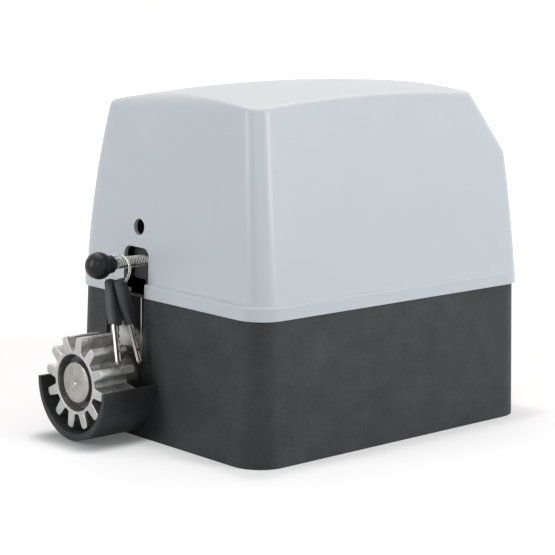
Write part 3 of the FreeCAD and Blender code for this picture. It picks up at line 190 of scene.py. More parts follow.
def start(name, colour, roughness, metallic=0.0):
    """A material with its shader, and object coordinates for its patterns."""
    material = bpy.data.materials.new(name)
    material.use_nodes = True
    tree = material.node_tree
    tree.nodes.clear()
    shader = add(tree, "ShaderNodeBsdfPrincipled",
                 {"Base Color": from_hex(colour), "Roughness": roughness, "Metallic": metallic})
    add(tree, "ShaderNodeOutputMaterial", links={"Surface": shader.outputs["BSDF"]})
    place = add(tree, "ShaderNodeTexCoord")
    return material, tree, shader, place.outputs["Object"]


def shift_colour(tree, shader, factor, low, high):
    """Colour that moves between two tones as a pattern does."""
    ramp = add(tree, "ShaderNodeValToRGB", links={"Fac": factor})
    ramp.color_ramp.elements[0].position = NOISE_LOW
    ramp.color_ramp.elements[0].color = from_hex(low)
    ramp.color_ramp.elements[1].position = NOISE_HIGH
    ramp.color_ramp.elements[1].color = from_hex(high)
    tree.links.new(ramp.outputs["Color"], shader.inputs["Base Color"])


def shift_roughness(tree, shader, factor, low, high):
    """Roughness that moves between two values as a pattern does."""
    span = add(tree, "ShaderNodeMapRange",
               {"From Min": NOISE_LOW, "From Max": NOISE_HIGH, "To Min": low, "To Max": high},
               {"Value": factor})
    tree.links.new(span.outputs["Result"], shader.inputs["Roughness"])


def seen_by_eye(tree):
    """A factor of 1 where a surface is seen, mirrored or looked through, and 0 where it only lights."""
    path = add(tree, "ShaderNodeLightPath")
    eye = add(tree, "ShaderNodeMath", {"operation": "MAXIMUM"},
              {0: path.outputs["Is Camera Ray"], 1: path.outputs["Is Glossy Ray"]})
    eye = add(tree, "ShaderNodeMath", {"operation": "MAXIMUM"},
              {0: eye.outputs[0], 1: path.outputs["Is Transmission Ray"]})
    return eye.outputs[0]


def raise_surface(tree, shader, height, depth_mm):
    """Relief of a real depth, worked out from a pattern."""
    bump = add(tree, "ShaderNodeBump", {"Strength": 1.0, "Distance": mm(depth_mm)},
               {"Height": height})
    tree.links.new(bump.outputs["Normal"], shader.inputs["Normal"])


def moulded_plastic(name, tones, roughness, grain_mm, depth_mm, shine=0.5):
    """Injection-moulded plastic: an even colour, with the fine grain of the mould."""
    material, tree, shader, place = start(name, tones[0], roughness)
    grain = add(tree, "ShaderNodeTexNoise", {"Scale": scale_of(grain_mm), "Detail": 3.0},
                {"Vector": place})
    cloud = add(tree, "ShaderNodeTexNoise", {"Scale": scale_of(30), "Detail": 2.0}, {"Vector": place})
    shift_colour(tree, shader, cloud.outputs["Fac"], tones[0], tones[1])
    shift_roughness(tree, shader, grain.outputs["Fac"], roughness - 0.05, roughness + 0.05)
    raise_surface(tree, shader, grain.outputs["Fac"], depth_mm)
    shader.inputs["Specular IOR Level"].default_value = shine
    return material


def glass_filled_plastic(name, dark, light):
    """Glass-filled polyamide: dull, with fine pale fibres that speckle the dark resin."""
    material, tree, shader, place = start(name, dark, 0.55)
    # fibres are about 0.3 mm long; drawn at 0.7 mm so that they show
    fibre = add(tree, "ShaderNodeTexNoise", {"Scale": scale_of(0.7), "Detail": 2.0, "Roughness": 0.7},
                {"Vector": place})
    scuff = add(tree, "ShaderNodeTexNoise", {"Scale": scale_of(24), "Detail": 8.0, "Roughness": 0.68},
                {"Vector": place})
    # the fibres shift the tone of the scuffs by a share, and half of that is taken off to keep the middle
    fibre_share = 0.35
    flow = add(tree, "ShaderNodeMath", {"operation": "MULTIPLY_ADD", 1: fibre_share},
               {0: fibre.outputs["Fac"], 2: scuff.outputs["Fac"]})
    tone = add(tree, "ShaderNodeMath", {"operation": "SUBTRACT", 1: fibre_share / 2},
               {0: flow.outputs[0]})
    shift_colour(tree, shader, tone.outputs[0], dark, light)
    grain = add(tree, "ShaderNodeTexNoise", {"Scale": scale_of(1.6), "Detail": 5.0, "Roughness": 0.65},
                {"Vector": place})
    shift_roughness(tree, shader, grain.outputs["Fac"], 0.48, 0.66)
    raise_surface(tree, shader, grain.outputs["Fac"], 0.12)
    shader.inputs["Specular IOR Level"].default_value = 0.3
    return material


def cast_metal(name, tones, roughness, grain_mm, depth_mm):
    """Die-cast or sintered metal: bright, with a pitted skin and stains here and there."""
    material, tree, shader, place = start(name, tones[0], roughness, 1.0)
    pits = add(tree, "ShaderNodeTexNoise", {"Scale": scale_of(grain_mm), "Detail": 6.0, "Roughness": 0.65},
               {"Vector": place})
    stain = add(tree, "ShaderNodeTexNoise", {"Scale": scale_of(7), "Detail": 4.0}, {"Vector": place})
    shift_colour(tree, shader, stain.outputs["Fac"], tones[0], tones[1])
    shift_roughness(tree, shader, pits.outputs["Fac"], roughness - 0.1, roughness + 0.12)
    raise_surface(tree, shader, pits.outputs["Fac"], depth_mm)
    return material


def painted_shade_casting(name, tones):
    """The linished front of the casting, with light and shade painted on: painted shade darkens the top,
    and a painted reflection brightens it below and to the left.
    """
    shade_top = mm(76)
    shade_foot = mm(60)
    right_side = mm(-20)
    left_side = mm(-50)
    # place and half width of the painted highlight along the plate's edge
    glint_x = mm(-22.1)
    glint_half_width = mm(0.35)
    material, tree, shader, place = start(name, tones[0], 0.34, 1.0)
    parts = add(tree, "ShaderNodeSeparateXYZ", links={"Vector": place})
    # painted shade at the top, where the notch and the keys shade the plate, and a painted reflection
    # growing towards the lower left
    down = add(tree, "ShaderNodeMapRange", {"From Min": shade_top, "From Max": shade_foot},
               {"Value": parts.outputs["Z"]})
    across = add(tree, "ShaderNodeMapRange",
                 {"From Min": right_side, "From Max": left_side, "To Min": 0.4, "To Max": 0.95},
                 {"Value": parts.outputs["X"]})
    cloud = add(tree, "ShaderNodeTexNoise", {"Scale": scale_of(6), "Detail": 3.0}, {"Vector": place})
    mottle = add(tree, "ShaderNodeMapRange", {"To Min": 0.75, "To Max": 1.25},
                 {"Value": cloud.outputs["Fac"]})
    bright = add(tree, "ShaderNodeMath", {"operation": "MULTIPLY"},
                 {0: down.outputs[0], 1: across.outputs[0]})
    bright = add(tree, "ShaderNodeMath", {"operation": "MULTIPLY"},
                 {0: bright.outputs[0], 1: mottle.outputs[0]})
    # a painted highlight, the glint of the plate's edge, beside the right edge of the base's opening
    painted_glint = add(tree, "ShaderNodeMath", {"operation": "COMPARE", 1: glint_x, 2: glint_half_width},
                {0: parts.outputs["X"]})
    bright = add(tree, "ShaderNodeMath", {"operation": "MAXIMUM"},
                 {0: bright.outputs[0], 1: painted_glint.outputs[0]})
    shift_colour(tree, shader, bright.outputs[0], tones[0], tones[1])
    shift_roughness(tree, shader, cloud.outputs["Fac"], 0.28, 0.42)
    # a grey specular tint takes the glare off the metal where it is seen at a slant, keeping the painted
    # shade dark
    shader.inputs["Specular Tint"].default_value = from_hex("#8A8A8A")
    return material


def turned_metal(name, tones, roughness, axis_point=None):
    """Turned or ground metal: rings left by the tool round an axis, or else a fine even brushing."""
    material, tree, shader, place = start(name, tones[0], roughness, 1.0)
    stain = add(tree, "ShaderNodeTexNoise", {"Scale": scale_of(5), "Detail": 5.0}, {"Vector": place})
    shift_colour(tree, shader, stain.outputs["Fac"], tones[0], tones[1])
    if axis_point:
        centred = add(tree, "ShaderNodeMapping", {"Location": [-v for v in axis_point]},
                      {"Vector": place})
        # the tool's rings are about 0.1 mm apart; drawn at 0.5 mm so that they show
        rings = add(tree, "ShaderNodeTexWave",
                    {"wave_type": "RINGS", "rings_direction": "Y", "Scale": wave_scale(0.5),
                     "Distortion": 0.4, "Detail": 2.0},
                    {"Vector": centred.outputs["Vector"]})
        raise_surface(tree, shader, rings.outputs["Fac"], 0.02)
        shift_roughness(tree, shader, rings.outputs["Fac"], roughness - 0.06, roughness + 0.1)
    else:
        brushed = add(tree, "ShaderNodeTexNoise", {"Scale": scale_of(0.6), "Detail": 3.0},
                      {"Vector": place})
        shift_roughness(tree, shader, brushed.outputs["Fac"], roughness - 0.06, roughness + 0.1)
        raise_surface(tree, shader, brushed.outputs["Fac"], 0.01)
    return material


def plated_metal(name, tones, roughness):
    """Zinc or nickel plate: smooth and bright, clouded where it has been handled."""
    material, tree, shader, place = start(name, tones[0], roughness, 1.0)
    cloud = add(tree, "ShaderNodeTexNoise", {"Scale": scale_of(2.5), "Detail": 4.0}, {"Vector": place})
    shift_colour(tree, shader, cloud.outputs["Fac"], tones[0], tones[1])
    shift_roughness(tree, shader, cloud.outputs["Fac"], roughness - 0.05, roughness + 0.1)
    return material


def threaded_metal(name, tones, axis_point, root, crest):
    """Zinc-plated thread: bright on its crests, darkened in its grooves by painted shade."""
    material, tree, shader, place = start(name, tones[1], 0.25, 1.0)
    centred = add(tree, "ShaderNodeMapping", {"Location": [-v for v in axis_point]},
                  {"Vector": place})
    radius = add(tree, "ShaderNodeVectorMath", {"operation": "MULTIPLY", 1: (1, 0, 1)},
                 {0: centred.outputs["Vector"]})
    radius = add(tree, "ShaderNodeVectorMath", {"operation": "LENGTH"}, {0: radius.outputs[0]})
    # painted shade: the tone darkens from the crest down to the root, as shade falls in the grooves
    height = add(tree, "ShaderNodeMapRange", {"From Min": root, "From Max": crest},
                 {"Value": radius.outputs["Value"]})
    shift_colour(tree, shader, height.outputs["Result"], tones[0], tones[1])
    cloud = add(tree, "ShaderNodeTexNoise", {"Scale": scale_of(2.5), "Detail": 4.0}, {"Vector": place})
    shift_roughness(tree, shader, cloud.outputs["Fac"], 0.2, 0.35)
    return material


def galvanised_sheet(name, tones):
    """Galvanised sheet: pale spangles of zinc that take the light one by one."""
    material, tree, shader, place = start(name, tones[0], 0.35, 1.0)
    spangle = add(tree, "ShaderNodeTexVoronoi", {"Scale": scale_of(2.5)}, {"Vector": place})
    tone = add(tree, "ShaderNodeSeparateColor", links={"Color": spangle.outputs["Color"]})
    shift_colour(tree, shader, tone.outputs["Red"], tones[0], tones[1])
    shift_roughness(tree, shader, tone.outputs["Green"], 0.32, 0.42)
    return material


def laminated_steel(name):
    """Stacked laminations: thin dark sheets of steel, pressed together along Z."""
    material, tree, shader, place = start(name, "#6C6C70", 0.45, 1.0)
    # sheets are 0.5 mm thick; drawn at 1.5 mm so that they show
    sheets = add(tree, "ShaderNodeTexWave",
                 {"wave_type": "BANDS", "bands_direction": "Z", "Scale": wave_scale(1.5),
                  "Distortion": 0.3},
                 {"Vector": place})
    shift_colour(tree, shader, sheets.outputs["Fac"], "#46464A", "#8A8A8C")
    raise_surface(tree, shader, sheets.outputs["Fac"], 0.1)
    return material


def enamelled_copper(name):
    """Windings: copper wires under a warm enamel, laid side by side."""
    material, tree, shader, place = start(name, "#A4532A", 0.3, 0.6)
    # wires are 0.6 mm thick; drawn at 1.2 mm so that they show
    wires = add(tree, "ShaderNodeTexWave",
                {"wave_type": "RINGS", "rings_direction": "Z", "Scale": wave_scale(1.2), "Distortion": 2.0},
                {"Vector": place})
    shift_colour(tree, shader, wires.outputs["Fac"], "#6E2E14", "#C0703C")
    raise_surface(tree, shader, wires.outputs["Fac"], 0.3)
    return material


def circuit_board(name):
    """Glass-epoxy board under green solder mask, with its copper tracks showing through."""
    material, tree, shader, place = start(name, "#1F6B3C", 0.3)
    tracks = add(tree, "ShaderNodeTexVoronoi",
                 {"distance": "CHEBYCHEV", "feature": "F1", "Scale": scale_of(6)}, {"Vector": place})
    shift_colour(tree, shader, tracks.outputs["Distance"], "#2E8A50", "#155230")
    raise_surface(tree, shader, tracks.outputs["Distance"], 0.05)
    return material


def clear_glass(name):
    """A glass tube, as on a fuse."""
    material, tree, shader, place = start(name, "#EEF4F2", 0.05)
    shader.inputs["Transmission Weight"].default_value = 0.9
    shader.inputs["IOR"].default_value = 1.5
    haze = add(tree, "ShaderNodeTexNoise", {"Scale": scale_of(3)}, {"Vector": place})
    shift_roughness(tree, shader, haze.outputs["Fac"], 0.03, 0.12)
    return material


def soft_rubber(name):
    """Nitrile rubber: black, dull, with a dusty bloom."""
    material, tree, shader, place = start(name, "#17181A", 0.75)
    dust = add(tree, "ShaderNodeTexNoise", {"Scale": scale_of(2), "Detail": 5.0}, {"Vector": place})
    shift_colour(tree, shader, dust.outputs["Fac"], "#131416", "#232427")
    raise_surface(tree, shader, dust.outputs["Fac"], 0.03)
    return material


# ---------------------------------------------------------------- pieces from the frame

def body_of(node):
    """The body that a part of the frame rides on."""
    for body, nodes in frame["record"]["behaviour"]["bodies"].items():
        if node in nodes:
            return body
    raise RuntimeError("no body holds " + node)


def clothe(nodes, material):
    """Gives parts of the frame a material and leaves their shape alone."""
    for node in nodes:
        mesh = frame["nodes"][node].data
        mesh.materials.clear()
        mesh.materials.append(material)


def merged_copy(node):
    """A part of the frame as a closed mesh, with flat faces in one piece."""
    bm = bmesh.new()
    bm.from_mesh(frame["nodes"][node].data)
    bmesh.ops.remove_doubles(bm, verts=bm.verts, dist=mm(0.002))
    bmesh.ops.dissolve_limit(bm, angle_limit=math.radians(0.6), verts=bm.verts, edges=bm.edges)
    return bm


def place_piece(name, bm, nodes, materials, sharp=40.0):
    """Makes an object of a mesh, smooth but for its sharp edges, in place of parts of the frame."""
    mesh = bpy.data.meshes.new(name)
    bm.to_mesh(mesh)
    bm.free()
    for material in materials:
        mesh.materials.append(material)
    mesh.shade_smooth()
    mesh.set_sharp_from_angle(angle=math.radians(sharp))
    piece = bpy.data.objects.new(name, mesh)
    bpy.context.scene.collection.objects.link(piece)
    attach(piece, body_of(nodes[0]))
    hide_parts(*nodes)
    return piece


def round_profile(bm, segments, radius, matrix):
    """A filled circle, as the profile of a ring."""
    circle = bmesh.ops.create_circle(bm, cap_ends=True, segments=segments, radius=radius, matrix=matrix)
    return circle["verts"][0].link_faces[0]


def spin_profile(bm, face, centre, axis, steps, turns=1.0, rise=0.0):
    """Turns a profile's face into a solid ring, or into a coil where it rises."""
    corners = len(face.verts)
    shift = Vector(axis) * (rise * turns / steps)
    bmesh.ops.spin(bm, geom=[face] + list(face.edges) + list(face.verts), cent=centre, axis=axis,
                   dvec=shift, angle=2 * math.pi * turns, steps=steps, use_duplicate=False)
    if rise == 0.0:
        bmesh.ops.remove_doubles(bm, verts=bm.verts, dist=mm(0.001))
        inner = [f for f in bm.faces if len(f.verts) == corners]
        bmesh.ops.delete(bm, geom=inner, context="FACES_ONLY")
    bmesh.ops.recalc_face_normals(bm, faces=bm.faces)


def round_edges(piece, width):
    """Rounds a piece's sharp edges."""
    bevel = piece.modifiers.new("rounded_edges", "BEVEL")
    bevel.width = width
    bevel.segments = 2
    bevel.limit_method = "ANGLE"
    bevel.angle_limit = math.radians(35)
    bevel.harden_normals = True
    bevel.use_clamp_overlap = True


def dress(nodes, material, width, swell=0.0):
    """Replaces parts of the frame by copies with rounded edges, a little swollen or worn."""
    for node in nodes:
        bm = merged_copy(node)
        for vertex in bm.verts:
            vertex.co += vertex.normal * swell
        piece = place_piece(node + "_piece", bm, [node], [material])
        round_edges(piece, width)


# ---------------------------------------------------------------- the operators

class GATEMOTOR_OT_base(bpy.types.Operator):
    """Base housing and the seal round its rim"""

    bl_idname = "gate_motor.base"
    bl_label = "Base"

    def execute(self, context):
        colours = context.scene.gate_motor_colours
        resin = glass_filled_plastic("glass_filled_polyamide_moulded", colours.base, "#393B3C")
        clothe(["base_housing", "pinion_guard"], resin)
        clothe(["cover_seal", "cable_grommet"], soft_rubber("nitrile_rubber_moulded"))
        return {"FINISHED"}


class GATEMOTOR_OT_cover(bpy.types.Operator):
    """Pale cover with its rim, notch and key hole"""

    bl_idname = "gate_motor.cover"
    bl_label = "Cover"

    def execute(self, context):
        colours = context.scene.gate_motor_colours
        shell = moulded_plastic("abs_injection_moulded", (colours.cover, "#C8D0D6"), 0.38, 0.8, 0.004,
                                shine=0.45)
        clothe(["cover"], shell)
        return {"FINISHED"}


class GATEMOTOR_OT_drive(bpy.types.Operator):
    """Pinion, output shaft, washer, circlip and shaft seal"""

    bl_idname = "gate_motor.drive"
    bl_label = "Drive pinion"

    def execute(self, context):
        colours = context.scene.gate_motor_colours
        sizes = context.scene.gate_motor_sizes
        low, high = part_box("output_shaft")
        axis = [(low[0] + high[0]) / 2, 0.0, (low[2] + high[2]) / 2]
        face = cast_metal("zinc_alloy_face_linished", ("#A4A4A4", "#B6B6B5"), 0.5, 0.5, 0.03)
        # the cast skin's grains are about 0.5 mm; drawn at 1.7 mm so that they show
        flank = cast_metal("zinc_alloy_die_cast", (colours.pinion, "#9C9B98"), 0.4, 1.7, 0.45)
        bm = merged_copy("drive_pinion")
        # the flat front is linished and takes the first material, and all the rest stays as cast
        for side in bm.faces:
            side.material_index = 0 if side.normal.y < -0.9 else 1
        pinion = place_piece("drive_pinion_piece", bm, ["drive_pinion"], [face, flank])
        round_edges(pinion, sizes.cast_rounding)
        steel = turned_metal("carbon_steel_turned", ("#A8A6A1", "#93918C"), 0.35, axis)
        dress(["output_shaft"], steel, sizes.metal_rounding)
        zinc = plated_metal("steel_zinc_plated_washer", ("#7E7E7D", "#6A6A69"), 0.35)
        dress(["pinion_washer"], zinc, sizes.metal_rounding)
        dress(["pinion_circlip"], turned_metal("spring_steel_blackened", ("#3A3A3C", "#55555A"), 0.35),
              sizes.metal_rounding)
        clothe(["pinion_key"], steel)
        clothe(["shaft_seal"], soft_rubber("nitrile_rubber_seal"))
        return {"FINISHED"}


class GATEMOTOR_OT_gearbox(bpy.types.Operator):
    """Gearbox casting with its lid, bearings, worm gear and clutch"""

    bl_idname = "gate_motor.gearbox"
    bl_label = "Gearbox"

    def execute(self, context):
        colours = context.scene.gate_motor_colours
        alloy = cast_metal("aluminium_die_cast", (colours.cast, CAST_LIGHT), 0.38, 0.9, 0.06)
        clothe(["gearbox_housing", "gearbox_lid"], alloy)
        # the front face of the casting gets painted shade at the top and a painted reflection below
        self.give_plate_painted_shade(painted_shade_casting("aluminium_linished_painted_shade", ("#1E1E1E", "#B0B1B0")))
        clothe(["gearbox_screws", "gearbox_lid_screws"],
               plated_metal("steel_zinc_plated_screw", ZINC_TONES, 0.3))
        clothe(["front_bearing", "rear_bearing", "worm_lower_bearing", "worm_upper_bearing"],
               turned_metal("bearing_steel_ground", ("#B0B0B0", "#9A9A9A"), 0.2))
        clothe(["worm_wheel"], turned_metal("bronze_machined", ("#B98A45", "#A5783A"), 0.3))
        clothe(["worm_shaft", "clutch_sleeve"],
               turned_metal("alloy_steel_ground", ("#9C9A96", "#86847F"), 0.28))
        return {"FINISHED"}

    def give_plate_painted_shade(self, material):
        """A material of its own, the mesh's second one, for the front face of the gearbox, which carries
        painted shade and a painted reflection.
        """
        mesh = frame["nodes"]["gearbox_housing"].data
        mesh.materials.append(material)
        front = min(vertex.co.y for vertex in mesh.vertices)
        in_plane = mm(0.1)
        for face in mesh.polygons:
            if abs(face.center.y - front) < in_plane:
                face.material_index = 1


class GATEMOTOR_OT_motor(bpy.types.Operator):
    """Upright motor and its run capacitor"""

    bl_idname = "gate_motor.motor"
    bl_label = "Motor"

    def execute(self, context):
        colours = context.scene.gate_motor_colours
        bell = cast_metal("aluminium_die_cast_bell", (colours.cast, CAST_LIGHT), 0.4, 1.0, 0.08)
        clothe(["motor_lower_bell", "motor_upper_bell"], bell)
        clothe(["motor_stator", "motor_rotor"], laminated_steel("silicon_steel_laminations"))
        clothe(["motor_windings"], enamelled_copper("copper_wire_enamelled"))
        clothe(["motor_bolts"], plated_metal("steel_zinc_plated_bolt", ZINC_TONES, 0.3))
        clothe(["run_capacitor"],
               moulded_plastic("polypropylene_case_moulded", ("#D6D5CF", "#DEDDD8"), 0.35, 1.0, 0.01))
        clothe(["capacitor_clip"], galvanised_sheet("steel_sheet_galvanised_clip", SPANGLE_TONES))
        return {"FINISHED"}


class GATEMOTOR_OT_release(bpy.types.Operator):
    """Pull knob, threaded rod, guide, fork and lock"""

    bl_idname = "gate_motor.release"
    bl_label = "Release"

    def execute(self, context):
        colours = context.scene.gate_motor_colours
        sizes = context.scene.gate_motor_sizes
        resin = moulded_plastic("phenolic_resin_moulded", (colours.knob, "#191A1C"), 0.32, 2.0, 0.005,
                                shine=0.25)
        self.make_knob(sizes, resin)
        clothe(["release_fork"], plated_metal("steel_zinc_plated_fork", ("#B4B4B3", "#8C8C8A"), 0.25))
        self.make_rod(sizes)
        clothe(["release_guide"],
               moulded_plastic("polyamide_guide_moulded", ("#1B1C1E", "#222326"), 0.5, 0.8, 0.02))
        clothe(["release_guide_screws"], plated_metal("steel_zinc_plated_small", ZINC_TONES, 0.3))
        clothe(["lock_body"], plated_metal("zinc_alloy_chromed", ("#C8C8C8", "#B4B4B4"), 0.15))
        clothe(["lock_plug", "lock_cam"], turned_metal("brass_machined", BRASS_TONES, 0.28))
        return {"FINISHED"}

    def make_knob(self, sizes, material):
        """The ball and its collar, with the round bead where the rod goes in."""
        low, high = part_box("release_knob")
        x = (low[0] + high[0]) / 2
        z = (low[2] + high[2]) / 2
        bm = bmesh.new()
        roll = round_profile(bm, segments=16, radius=sizes.bead_wire,
                             matrix=Matrix.Translation((x + sizes.bead_radius, high[1], z)))
        spin_profile(bm, roll, (x, 0, z), (0, 1, 0), steps=48)
        ring = bpy.data.meshes.new("bead")
        bm.to_mesh(ring)
        bm.free()
        bm = merged_copy("release_knob")
        bm.from_mesh(ring)
        bpy.data.meshes.remove(ring)
        place_piece("release_knob_piece", bm, ["release_knob"], [material])

    def make_rod(self, sizes):
        """The rod: a plain core with a thread wound along it, closed at both ends."""
        low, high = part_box("release_rod")
        x = (low[0] + high[0]) / 2
        z = (low[2] + high[2]) / 2
        crest_r = (high[0] - low[0]) / 2
        root_r = crest_r - sizes.thread_depth
        bm = bmesh.new()
        bmesh.ops.create_cone(bm, cap_ends=True, segments=32, radius1=root_r, radius2=root_r,
                              depth=high[1] - low[1],
                              matrix=Matrix.Translation((x, (low[1] + high[1]) / 2, z))
                              @ Matrix.Rotation(math.pi / 2, 4, "X"))
        pitch = sizes.thread_pitch
        # one turn less than the length holds, because the ridge itself is nearly a pitch wide
        turns = int((high[1] - low[1]) / pitch) - 1
        # the foot of the ridge lies inside the core, so that no gap shows between them
        foot_r = root_r - mm(0.1)
        # the ridge from flank to flank: its radius, and its place along the rod as a share of the pitch
        flanks = ((foot_r, 0.04), (crest_r, 0.42), (crest_r, 0.54), (foot_r, 0.92))
        ridge = bm.faces.new([bm.verts.new((x + radius, low[1] + share * pitch, z))
                              for radius, share in flanks])
        spin_profile(bm, ridge, (x, 0, z), (0, 1, 0), steps=24 * turns, turns=turns, rise=pitch)
        zinc = threaded_metal("steel_zinc_plated_thread", ("#3C3C3B", "#D6D6D4"), (x, 0.0, z),
                              root_r, crest_r)
        place_piece("release_rod_piece", bm, ["release_rod"], [zinc], sharp=30.0)


class GATEMOTOR_OT_keys(bpy.types.Operator):
    """Key ring and the two keys on it"""

    bl_idname = "gate_motor.keys"
    bl_label = "Keys"

    def execute(self, context):
        colours = context.scene.gate_motor_colours
        sizes = context.scene.gate_motor_sizes
        self.make_ring(sizes, plated_metal("steel_nickel_plated_ring", ("#D8D5CC", "#BDB8AC"), 0.15))
        grip = moulded_plastic("abs_key_grip_moulded", (colours.key_grip, "#434446"), 0.5, 0.5, 0.02,
                               shine=0.35)
        dress(["front_key_head", "rear_key_head"], grip, width=mm(0.6), swell=mm(0.5))
        nickel = plated_metal("brass_nickel_plated", ("#C6C5C2", "#A3A09A"), 0.3)
        dress(["front_key_blade", "rear_key_blade"], nickel, width=mm(0.15), swell=mm(-0.3))
        return {"FINISHED"}

    def make_ring(self, sizes, material):
        """The split ring: two turns of round wire, one beside the other."""
        low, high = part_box("key_ring")
        centre = (Vector(low) + Vector(high)) / 2
        side = Vector((math.cos(sizes.ring_turn), math.sin(sizes.ring_turn), 0))
        up = Vector((0, 0, 1)) * math.cos(sizes.ring_lean)
        up -= side.cross(Vector((0, 0, 1))) * math.sin(sizes.ring_lean)
        normal = side.cross(up)
        begin = centre - up * sizes.ring_radius - normal * sizes.ring_pitch
        across = Matrix((up, normal, up.cross(normal))).transposed().to_4x4()
        bm = bmesh.new()
        wire = round_profile(bm, segments=8, radius=sizes.ring_wire,
                             matrix=Matrix.Translation(begin) @ across)
        spin_profile(bm, wire, centre, normal, steps=96, turns=2.0, rise=sizes.ring_pitch)
        place_piece("key_ring_piece", bm, ["key_ring"], [material], sharp=60.0)


class GATEMOTOR_OT_controls(bpy.types.Operator):
    """Control board, its bracket and its components"""

    bl_idname = "gate_motor.controls"
    bl_label = "Controls"

    def execute(self, context):
        clothe(["board_bracket"], galvanised_sheet("steel_sheet_galvanised", SPANGLE_TONES))
        clothe(["bracket_screws", "board_screws"],
               plated_metal("steel_zinc_plated_board_screw", ZINC_TONES, 0.3))
        clothe(["board_standoffs", "fuse_clips"], turned_metal("brass_turned", BRASS_TONES, 0.28))
        clothe(["control_board"], circuit_board("glass_epoxy_board"))
        clothe(["relays"],
               moulded_plastic("pbt_relay_case_moulded", ("#16181B", "#1D1F23"), 0.3, 1.0, 0.01))
        clothe(["terminal_block"],
               moulded_plastic("polyamide_terminal_moulded", ("#2F8B4B", "#379856"), 0.4, 1.0, 0.01))
        clothe(["transformer_core"], laminated_steel("transformer_laminations"))
        clothe(["transformer_coil"],
               moulded_plastic("polyester_tape_wrapped", ("#C9A53A", "#D4B24A"), 0.35, 1.5, 0.03))
        clothe(["smoothing_capacitors"],
               moulded_plastic("pvc_sleeve_shrunk", ("#1C2436", "#232C42"), 0.3, 1.5, 0.01))
        clothe(["fuse"], clear_glass("fuse_glass_drawn"))
        clothe(["control_chip"],
               moulded_plastic("epoxy_chip_moulded", ("#141416", "#1B1B1E"), 0.5, 0.5, 0.01))
        return {"FINISHED"}


# the floor's own light: in the open, where it turns white, and lower at the feet of the base and the guard,
# a painted contact shadow
OPEN_GLOW = 0.57
BASE_GLOW = 0.42
GUARD_GLOW = 0.1
SHADE_REACH = mm(22)

# light added to the floor further off, where the lamps reach less, from the first distance to the second
FAR_GLOW = 0.42
FAR_BEGIN = 0.2
FAR_END = 0.8

FLOOR_HALF = 4.0            # half the side of the square floor
FLOOR_GAP = mm(0.2)         # the floor lies this far under the feet, so that the faces don't meet
LAMP_TARGET = (0, 0, 0.1)   # the lamps point at about the middle of the motor


